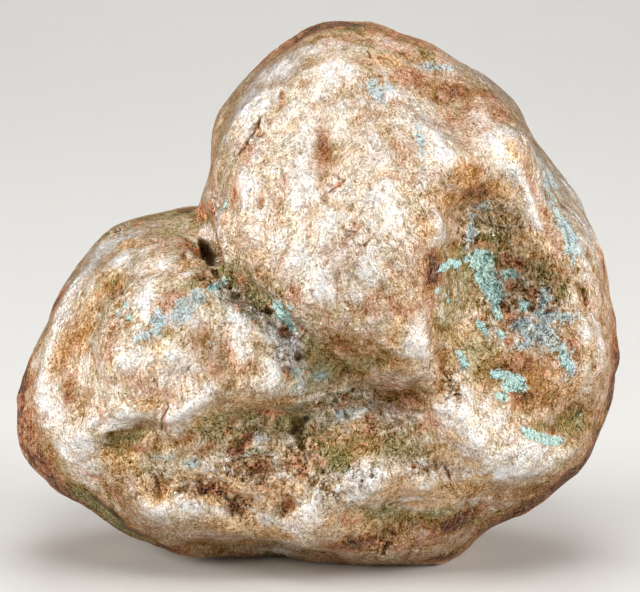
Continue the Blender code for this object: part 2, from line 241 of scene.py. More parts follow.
# Broad swells and dishes that the solid is too coarse for, in the order they are made: the side, the
# oval, and the height out of the skin. "forward" has its place in the photo and rises to the camera
swells = [
    ("forward", 290, 360, 0.9, 1.5, 15, 0.7), ("forward", 297, 369, 1.2, 1.2, 0, 0.4),
    ("forward", 279, 348, 1.6, 1.2, 0, 0.3), ("photo", 368, 23, 4.8, 4.6, 0, 2.5),
    ("photo", 299, 34, 3, 3, 0, -0.9), ("photo", 266, 60, 3.6, 3, -45, -0.3),
    ("photo", 455, 58, 4.5, 4, 35, -0.5), ("photo", 528, 126, 5, 4, 50, -0.9),
    ("photo", 208, 164, 2.8, 3.2, 0, -1.2), ("photo", 184, 210, 2.2, 2.2, 0, -0.8),
    ("photo", 80, 262, 4.6, 3, -50, -0.95), ("photo", 28, 362, 4, 3, -70, 0.7),
    ("photo", 95, 509, 3.4, 3.4, 35, -0.9), ("top", 4, -0.5, 3.6, 4.2, 0, 0.5),
    ("left", -3.5, 6, 4.6, 4, 0, -2), ("left", -1, 59, 3.6, 3.8, 0, -1.1),
    ("left", 3, 45, 4, 3.6, 0, -0.5), ("right", 1, 63, 5, 4.6, 0, -0.9),
    ("photo", 26, 458, 3, 3, 45, 0.3), ("photo", 208, 557, 3, 3, 0, 0.35),
    ("photo", 184, 554, 5, 3, 10, 0.6), ("photo", 274, 556, 3.4, 4, 0, -1.4),
    ("photo", 525, 512, 8, 3, -30, 0.75), ("photo", 584, 464, 3, 3, -50, 0.35),
    ("photo", 619, 358, 2.4, 3, -80, 0.45), ("photo", 609, 405, 2.4, 2.4, 0, -0.4),
    ("photo", 606, 281, 2.4, 2.4, 0, -0.4), ("forward", 214, 246, 1.6, 3.2, -20, 1.3),
    ("photo", 207, 229, 1.9, 1.3, 0, 0.7), ("photo", 226, 230, 1.5, 3.8, -5, 1.3),
    ("forward", 228, 266, 1.2, 1.8, -35, 0.8), ("forward", 284, 314, 1.1, 1.5, -40, 0.9),
    ("forward", 300, 440, 3, 2.6, 0, 0.5), ("forward", 308, 427, 1.1, 1.3, 0, 1.4),
    ("photo", 293, 342, 1.3, 1, 0, 0.5), ("photo", 279, 352, 1, 0.8, 0, 0.5),
    ("photo", 303, 345, 0.8, 0.8, 0, 0.4), ("photo", 500, 152, 2.2, 2.6, -20, 0.35),
    ("photo", 445, 152, 2, 3.6, -10, 0.35), ("photo", 408, 118, 1.8, 3.4, -35, 0.35),
    ("photo", 470, 168, 1.8, 2.6, -20, -0.45), ("photo", 425, 95, 3, 1, 20, -0.3),
    ("photo", 588, 332, 1.2, 1.6, 0, 0.35), ("photo", 336, 70, 3.6, 2.2, 0, 0.5),
    ("photo", 262, 108, 1.6, 3, 25, 0.45), ("photo", 300, 190, 2, 2.6, 0, 0.4),
    ("photo", 247, 187, 1.8, 2.4, 0, 0.4), ("photo", 335, 215, 2.4, 1.8, 0, 0.4),
    ("photo", 388, 212, 2.2, 3.4, 10, 0.55), ("photo", 325, 152, 1.4, 3.4, -8, -0.5),
    ("photo", 355, 175, 1.4, 2.2, 20, -0.35), ("photo", 440, 225, 0.7, 1.5, 10, 0.5),
    ("photo", 417, 345, 1.8, 2.8, 0, 0.5), ("photo", 320, 290, 2.4, 1.8, -20, 0.35),
    ("photo", 190, 407, 4.4, 1.1, -40, 0.8), ("photo", 130, 413, 1.8, 1.2, 10, 0.5),
    ("photo", 145, 297, 1.2, 2.6, 0, 0.4), ("photo", 176, 356, 2.2, 1.4, -20, 0.5),
    ("photo", 123, 356, 2, 1.2, 0, 0.35), ("photo", 270, 378, 2, 1.4, 0, 0.5),
    ("photo", 236, 345, 2.4, 1.4, 60, 0.45), ("photo", 151, 511, 2.4, 1.2, 10, 0.5),
    ("photo", 190, 505, 1.8, 1, 20, 0.4), ("photo", 228, 519, 1.8, 0.8, 35, 0.45),
    ("photo", 310, 510, 1.6, 2.4, -10, 0.5), ("photo", 362, 484, 2.2, 1.8, 0, 0.5),
    ("photo", 425, 485, 1.6, 1.2, 0, 0.4), ("photo", 452, 393, 1, 1.4, 0, 0.5),
    ("photo", 440, 407, 1.4, 0.9, 0, 0.5), ("forward", 358, 409, 2, 1.2, -10, 0.5),
    ("forward", 114, 428, 2.4, 0.8, -14, 0.6), ("forward", 512, 475, 3.6, 1.1, -4, 0.6),
    ("forward", 283, 336, 1.8, 2.2, 20, 0.6),
]


# Long swells, or hollows where the height is below 0, along a line; reach is about half their width
ridges = [
    dict(at=((110, 236), (84, 268), (63, 306), (48, 350), (42, 396), (56, 432)), reach=1.8, height=0.45),
    dict(at=((112, 284), (94, 315), (80, 355), (74, 392), (88, 418)), reach=1.7, height=-0.45),
    dict(at=((456, 400), (466, 420), (480, 447), (494, 474)), reach=1.1, height=0.45),
    dict(at=((438, 77), (456, 81), (477, 88)), reach=0.45, height=0.30),
    dict(at=((505, 135), (515, 170), (530, 200), (548, 240)), reach=1.0, height=0.25),
    dict(at=((102, 432), (122, 424), (146, 416)), reach=1.2, height=0.40),
    dict(at=((490, 492), (520, 493), (550, 482)), reach=1.5, height=-0.30),
    dict(at=((102, 446), (126, 442), (152, 433)), reach=0.8, height=-0.28),
]


def shapeSwells(mesh):
    points = pointsOf(mesh)
    for side, *oval, height in swells:
        forward = side == "forward"
        share, normal = ovalMark(points, "photo" if forward else side, *oval)
        near = share < 3
        way = np.array(shotBack) if forward else normal
        points[near] += (np.exp(-share[near] ** 2) * height * mm)[:, None] * way
    setPoints(mesh, points)


def shapeRidges(mesh):
    points = pointsOf(mesh)
    for ridge in ridges:
        line, normals = surface.line("photo", ridge["at"])
        distance, where = alongLine(points, line)
        near = distance < ridge["reach"] * mm * 3
        ends = endFade(where, line, 1.6)[near]
        rise = np.exp(-(distance[near] / (ridge["reach"] * mm)) ** 2) * ends * ridge["height"] * mm
        points[near] += rise[:, None] * normals[np.minimum((where[near] + 0.5).astype(int), len(line) - 1)]
    setPoints(mesh, points)


shapeSwells(copperNugget.data)
shapeRidges(copperNugget.data)
surface = Surface(copperNugget)  # everything below is placed on the shaped skin

# How edges are torn: sizes of the nicks in millimetres
torn = {
    "creviceNick": 0.9,
    "pitBay": 1.3,
    "pitNick": 0.6,
}

# Crevices: open gaps with broken edges; width is half the gap, lean tips the bottom upwards
crevices = [
    dict(at=((202, 240), (205, 247), (208, 255), (211, 264)), width=0.62, deep=3.4, lean=0.0, ragged=0.25),
    dict(at=((211, 265), (216, 273), (222, 280), (231, 289)), width=0.30, deep=1.5, lean=0.2, ragged=0.50),
    dict(at=((231, 291), (238, 297), (246, 300)), width=0.45, deep=1.6, lean=0.2, ragged=0.50),
    dict(at=((247, 301), (257, 308), (267, 311), (276, 314)), width=0.30, deep=1.2, lean=0.3, ragged=0.50),
    dict(at=((281, 321), (287, 325), (291, 332), (289, 338)), width=0.22, deep=0.9, lean=0.1, ragged=0.20),
    dict(at=((294, 350), (301, 362), (312, 372)), width=0.22, deep=0.5, lean=0.3, ragged=0.25),
    dict(at=((184, 236), (192, 241), (200, 249)), width=0.32, deep=0.9, lean=0.2, ragged=0.30),
    dict(at=((292, 433), (297, 426), (301, 422), (307, 418)), width=0.26, deep=1.0, lean=0.1, ragged=0.22),
    dict(at=((295, 430), (299, 438), (303, 446), (303, 456)), width=0.24, deep=0.9, lean=0.1, ragged=0.22),
    dict(at=((304, 458), (308, 466), (314, 472)), width=0.18, deep=0.5, lean=0.1, ragged=0.22),
    dict(at=((318, 476), (325, 484), (329, 494)), width=0.18, deep=0.5, lean=0.1, ragged=0.22),
    dict(at=((229, 453), (236, 450), (241, 443), (247, 433)), width=0.22, deep=0.8, lean=0.0, ragged=0.12),
    dict(at=((108, 443), (122, 439), (136, 434), (152, 428)), width=0.50, deep=0.22, lean=0.3, ragged=0.50),
    dict(at=((101, 444), (112, 446), (124, 445), (138, 450)), width=0.18, deep=0.4, lean=0.2, ragged=0.20),
    dict(at=((382, 398), (396, 402), (410, 408)), width=0.28, deep=0.6, lean=0.4, ragged=0.50),
    dict(at=((339, 410), (346, 414), (352, 420)), width=0.35, deep=0.8, lean=0.2, ragged=0.40),
]

# Pits, sunk patches with torn edges: the oval, how deep, and how ragged its edge is
pits = [
    (284, 332, 0.8, 0.8, 0, 0.5, 0.15), (299, 356, 0.9, 0.6, 50, 1, 0.3),
    (288, 369, 0.8, 0.6, 0, 0.8, 0.35), (349, 377, 0.7, 0.4, 30, 0.6, 0.3),
    (260, 470, 1.8, 1.1, -15, 0.24, 0.9), (205, 489, 1, 0.4, 0, 0.4, 0.9),
    (222, 491, 1.3, 0.6, 10, 0.3, 0.9), (238, 508, 1.8, 0.26, 48, 0.6, 0.25),
    (288, 507, 1.7, 0.34, -62, 0.9, 0.15), (292, 467, 1, 0.6, 30, 0.4, 0.9),
    (282, 98, 0.4, 1, 0, 0.7, 0.35), (261, 203, 0.5, 0.8, 0, 0.6, 0.4),
    (350, 238, 1, 0.6, -35, 0.5, 0.5), (118, 283, 0.26, 1.5, -6, 0.8, 0.25),
    (186, 270, 0.9, 0.25, 12, 0.6, 0.3), (163, 269, 0.6, 0.25, 5, 0.5, 0.3),
    (286, 538, 0.4, 0.6, 0, 0.5, 0.4), (414, 467, 0.4, 0.4, 0, 0.5, 0.5),
    (438, 468, 0.6, 0.4, 0, 0.6, 0.5), (327, 488, 0.7, 0.4, 60, 0.5, 0.5),
    (594, 368, 0.5, 0.5, 0, 0.4, 0.5), (483, 262, 0.24, 0.24, 0, 0.5, 0.3),
    (483, 280, 0.32, 0.26, 0, 0.5, 0.3), (493, 287, 0.34, 0.28, 0, 0.5, 0.3),
    (476, 268, 0.22, 0.2, 0, 0.4, 0.3), (507, 264, 1.1, 0.9, 0, 0.45, 0.5),
    (245, 299, 0.9, 0.4, -15, 0.7, 0.6), (266, 309, 0.6, 0.22, 10, 0.35, 0.6),
    (281, 353, 0.5, 0.4, -30, 0.6, 0.4), (304, 376, 0.3, 0.5, 0, 0.7, 0.3),
    (505, 305, 0.9, 0.6, 30, 0.4, 0.7), (511, 325, 0.8, 0.6, 0, 0.4, 0.7),
    (513, 288, 1.2, 0.8, 0, 0.35, 0.6),
]


def cutCrevices(mesh):
    points = pointsOf(mesh)
    for crevice in crevices:
        line, normals = surface.line("photo", crevice["at"])
        width = crevice["width"] * mm
        reach = width * 4
        near = np.linalg.norm(points - line.mean(axis=0), axis=1) < np.ptp(line, axis=0).max() + reach
        close = np.flatnonzero(near)
        distance, where = alongLine(points[close], line)
        close, distance, where = close[distance < reach], distance[distance < reach], where[distance < reach]
        distance = distance + crevice["ragged"] * mm * noiseAt(points[close], torn["creviceNick"], shift=4.2)
        ends = endFade(where, line, 2.2)
        share = np.maximum(distance, 0) / (width * (0.35 + 0.65 * ends))
        inward = -normals.mean(axis=0) + crevice["lean"] * np.array(shotUp)
        inward /= np.linalg.norm(inward)
        fall = crevice["deep"] * mm * (0.3 + 0.7 * ends) / (1 + share ** 5)
        points[close] += fall[:, None] * inward
    setPoints(mesh, points)


def pressPits(mesh):
    points = pointsOf(mesh)
    for *oval, deep, ragged in pits:
        share, normal = ovalMark(points, "photo", *oval)
        close = np.flatnonzero(share < 3.5)
        wander = 1.5 * noiseAt(points[close], torn["pitBay"], shift=9.1)
        wander = wander + 0.9 * noiseAt(points[close], torn["pitNick"], shift=1.4)
        edge = share[close] + ragged * wander
        points[close] -= (deep * mm / (1 + np.maximum(edge, 0) ** 6))[:, None] * normal
    setPoints(mesh, points)


cutCrevices(copperNugget.data)
pressPits(copperNugget.data)
remesh(copperNugget, voxel)
print("nugget: crevices and pits cut,", len(copperNugget.data.vertices), "points")

# Crumbled ground, strongest in the middle of each oval: the oval, and millimetres of broken relief
crumbles = {
    "photo": [
        (250, 470, 6.5, 3.2, 5, 0.36), (205, 488, 5.5, 2, 0, 0.28), (238, 506, 3, 1.8, 30, 0.34),
        (300, 450, 4.5, 3, -30, 0.3), (250, 425, 7, 2.6, 0, 0.14), (340, 400, 5, 2.6, -10, 0.2),
        (380, 425, 5, 3, 0, 0.15), (285, 345, 3, 4, 20, 0.3), (250, 308, 5, 1.8, 40, 0.3),
        (245, 283, 3.6, 2, 40, 0.24), (222, 285, 3, 1.6, 45, 0.34), (330, 485, 4, 3, 40, 0.28),
        (362, 478, 4, 2.2, 0, 0.24), (430, 465, 3, 2.2, 0, 0.22), (453, 385, 1.6, 2.4, -15, 0.34),
        (500, 290, 5, 7, 10, 0.22), (540, 310, 5, 4, 0, 0.2), (470, 235, 3, 5, -20, 0.16),
        (495, 225, 3, 4, -20, 0.18), (215, 212, 2, 1.6, 0, 0.3), (130, 310, 4, 4, 0, 0.18),
        (200, 260, 4, 2, 0, 0.22), (165, 480, 4, 2.4, 0, 0.16), (382, 548, 2, 2.4, 30, 0.18),
        (256, 140, 1.6, 4, -28, 0.14), (345, 185, 2.4, 1.2, 35, 0.16), (350, 236, 2.4, 1.8, 30, 0.16),
    ],
    "back": [
        (9, 25, 6, 3, 0, 0.34), (17, 22, 5, 3, 0, 0.3), (-14, 30, 7, 5, 20, 0.26),
        (-8, 62, 3, 2, 0, 0.24), (-12, 46, 3, 5, 0, 0.28),
    ],
    "left": [(2, 30, 4, 5, 0, 0.22), (2, 49, 8, 2, 0, 0.28)],
    "right": [(12, 30, 4, 6, 0, 0.22)],
    "top": [(-4, 6, 4, 3, 0, 0.22)],
}

# The hammered skin of the whole nugget: size of the lumps and how proud they are, in millimetres
dents = [(7.0, 0.36), (3.8, 0.28), (2.0, 0.13), (1.0, 0.05)]

# What crumbled ground breaks into: sizes in millimetres
crumbs = {
    "lump": 1.5,
    "grain": 0.75,
    "hole": 1.5,
    "height": 1.3,  # how far they use the relief that the ground allows
    "least": 0.02,  # ground with less relief than this stays whole
}


def crumbliness(points):
    # how broken the ground is at each point, in millimetres of relief
    level = np.zeros(len(points))
    for side, marks in crumbles.items():
        for *oval, rough in marks:
            share, _ = ovalMark(points, side, *oval)
            level = np.maximum(level, rough * np.exp(-share ** 2))
    return level


def crumbRelief(points):
    lumps = np.minimum(seamsAt(points, crumbs["lump"], shift=2.0) * 2.6, 1) * 1.2
    lumps = lumps + np.minimum(seamsAt(points, crumbs["grain"], shift=7.0) * 2.2, 1) * 0.7 - 1.2
    holes = np.minimum(noiseAt(points, crumbs["hole"], shift=3.3) + 0.12, 0) * 4.0
    return lumps + holes


def hammer(mesh):
    points, normals = pointsOf(mesh), normalsOf(mesh)
    rough = crumbliness(points)
    height = np.zeros(len(points))
    for index, (size, deep) in enumerate(dents):
        swell = noiseAt(points, size, shift=index * 5.3)
        height += deep * (swell if index == 0 else np.abs(swell) * 2 - 0.5)
    broken = np.flatnonzero(rough > crumbs["least"])
    height[broken] += rough[broken] * crumbs["height"] * crumbRelief(points[broken])
    facing = np.clip(np.abs(normals @ np.array(shotBack)) * 2 - 0.1, 0, 1)
    height *= 0.35 + 0.65 * facing  # the rims are worn smoother
    points += (height * mm)[:, None] * normals
    setPoints(mesh, points)


hammer(copperNugget.data)
print("nugget: skin hammered")


# Cracks: thin lines, drawn in the finish as well as in the skin. width is half the drawn line's and
# deep is how far the skin sinks along it, both in millimetres
cracks = [
    dict(at=((262, 114), (257, 127), (251, 136), (244, 148), (236, 157)), width=0.13, deep=0.22),
    dict(at=((345, 178), (340, 184), (334, 188), (327, 192)), width=0.12, deep=0.25),
    dict(at=((368, 49), (370, 54), (371, 59)), width=0.11, deep=0.25),
    dict(at=((376, 59), (381, 57), (387, 58)), width=0.10, deep=0.20),
    dict(at=((395, 48), (400, 51), (406, 53)), width=0.12, deep=0.20),
    dict(at=((167, 402), (168, 408), (164, 416), (162, 424), (161, 432)), width=0.11, deep=0.20),
    dict(at=((117, 272), (117, 281), (120, 289), (122, 294)), width=0.20, deep=0.35),
    dict(at=((154, 378), (156, 384), (157, 388)), width=0.12, deep=0.25),
    dict(at=((186, 372), (189, 367), (193, 363)), width=0.10, deep=0.18),
    dict(at=((389, 540), (386, 548), (380, 557)), width=0.16, deep=0.40),
    dict(at=((583, 287), (585, 297), (588, 308)), width=0.18, deep=0.45),
    dict(at=((590, 308), (594, 311), (598, 318), (601, 321)), width=0.13, deep=0.30),
    dict(at=((442, 462), (447, 470), (452, 481)), width=0.14, deep=0.35),
    dict(at=((433, 466), (438, 460), (444, 466)), width=0.16, deep=0.35),
    dict(at=((157, 475), (157, 484), (160, 491), (159, 500)), width=0.16, deep=0.30),
    dict(at=((240, 460), (252, 457), (266, 459), (276, 456)), width=0.14, deep=0.35),
    dict(at=((270, 300), (278, 308), (285, 312)), width=0.12, deep=0.30),
    dict(at=((307, 290), (312, 291), (317, 290)), width=0.10, deep=0.20),
    dict(at=((362, 246), (367, 243), (371, 240)), width=0.12, deep=0.20),
    dict(at=((226, 451), (238, 446), (248, 434), (250, 428)), width=0.14, deep=0.35),
    dict(at=((444, 401), (450, 396), (452, 388), (446, 380)), width=0.13, deep=0.30),
    dict(at=((483, 231), (478, 238), (474, 246)), width=0.11, deep=0.22),
    dict(side="back", at=((-20, 40), (-17, 35), (-16, 29), (-12, 25)), width=0.16, deep=0.45),
    dict(side="back", at=((10, 66), (14, 61), (15, 56)), width=0.13, deep=0.35),
    dict(side="back", at=((22, 20), (27, 18), (31, 19)), width=0.14, deep=0.35),
    dict(side="left", at=((-2, 36), (0, 31), (-1, 26)), width=0.14, deep=0.35),
    dict(side="right", at=((4, 60), (5.2, 57.6), (4.7, 55), (6.3, 52.4), (6, 50), (7.2, 47.8)),
         width=0.11, deep=0.22),
    dict(side="top", at=((10, 4), (12, 2.9), (13.6, 3.5), (15.8, 2.2), (18, 3.1)), width=0.10, deep=0.20),
]

# How every crack runs, in millimetres but for the groove, which is this much wider than the line
crackForm = {
    "far": 5,  # a point further than this from every crack counts as this far
    "sway": 0.16,  # how far a crack wanders from its line
    "swaySize": 0.9,
    "lineWidth": 0.15,  # what half a crack's width counts as in the finish
    "groove": 1.6,
    "runOut": 0.6,  # the groove ends between half this distance and half as much again
}


def crackLines(points):
    # each point's distance to the nearest crack, how far to one side of it, and how deep it is sunk
    nearest = np.full(len(points), crackForm["far"] * mm)
    signed = np.full(len(points), crackForm["far"] * mm)
    sink = np.zeros(len(points))
    for crack in cracks:
        line, normals = surface.line(crack.get("side", "photo"), crack["at"])
        middle, spread = line.mean(axis=0), np.ptp(line, axis=0).max() + 3 * mm
        close = np.flatnonzero(np.linalg.norm(points - middle, axis=1) < spread)
        wander = crackForm["sway"] * mm * noiseAt(points[close], crackForm["swaySize"], shift=6.0)
        distance, where = alongLine(points[close], line)
        index = np.minimum(where.astype(int), len(line) - 2)
        run = line[index + 1] - line[index]
        sideways = np.cross(run, normals.mean(axis=0))
        sideways /= np.linalg.norm(sideways, axis=1)[:, None]
        offset = np.sum((points[close] - line[index]) * sideways, axis=1) + wander
        ends = endFade(where, line, 3, least=0.05)
        width = crack["width"] * mm * ends
        better = distance < nearest[close]
        signed[close[better]] = (offset / width)[better] * crackForm["lineWidth"] * mm
        nearest[close[better]] = distance[better]
        groove = crack["deep"] * mm * ends
        groove = groove / (1 + (offset / (crackForm["groove"] * crack["width"] * mm)) ** 4)
        groove *= np.clip(1.5 - distance / (crackForm["runOut"] * mm), 0, 1)
        sink[close] = np.maximum(sink[close], groove)
    return nearest, signed, sink


def sinkCracks(mesh):
    points, normals = pointsOf(mesh), normalsOf(mesh)
    _, _, sink = crackLines(points)
    setPoints(mesh, points - sink[:, None] * normals)


sinkCracks(copperNugget.data)


def writeLayer(mesh, name, values):
    layer = mesh.attributes.get(name) or mesh.attributes.new(name, "FLOAT", "POINT")
    layer.data.foreach_set("value", np.ascontiguousarray(values, dtype=np.float32))


# How proud or sunk the skin lies at three sizes, kept on the mesh for the finish: passes of smoothing
reliefSizes = {"grainRelief": 5, "lumpRelief": 40, "formRelief": 260}


def measureRelief(obj):
    points, normals = pointsOf(obj.data), normalsOf(obj.data)
    for name, passes in reliefSizes.items():
        addSmoothing(obj, passes // (1))
        even = evaluatedMesh(obj, "even")
        obj.modifiers.clear()
        height = np.sum((points - pointsOf(even)) * normals, axis=1) / mm
        bpy.data.meshes.remove(even)
        writeLayer(obj.data, name, height)
        print("nugget:", name, round(float(height.min()), 2), "to", round(float(height.max()), 2), "mm")


def triangleCount(mesh):
    return sum(len(face.vertices) - 2 for face in mesh.polygons)


def thin(obj, triangles):
    before = triangleCount(obj.data)
    fewer = obj.modifiers.new("thin", "DECIMATE")
    fewer.ratio = min(1.0, triangles / before)
    swapMesh(obj, obj.name)
    print("nugget: thinned from", before, "to", triangleCount(obj.data), "triangles")


measureRelief(copperNugget)
thin(copperNugget, nugget["triangles"])

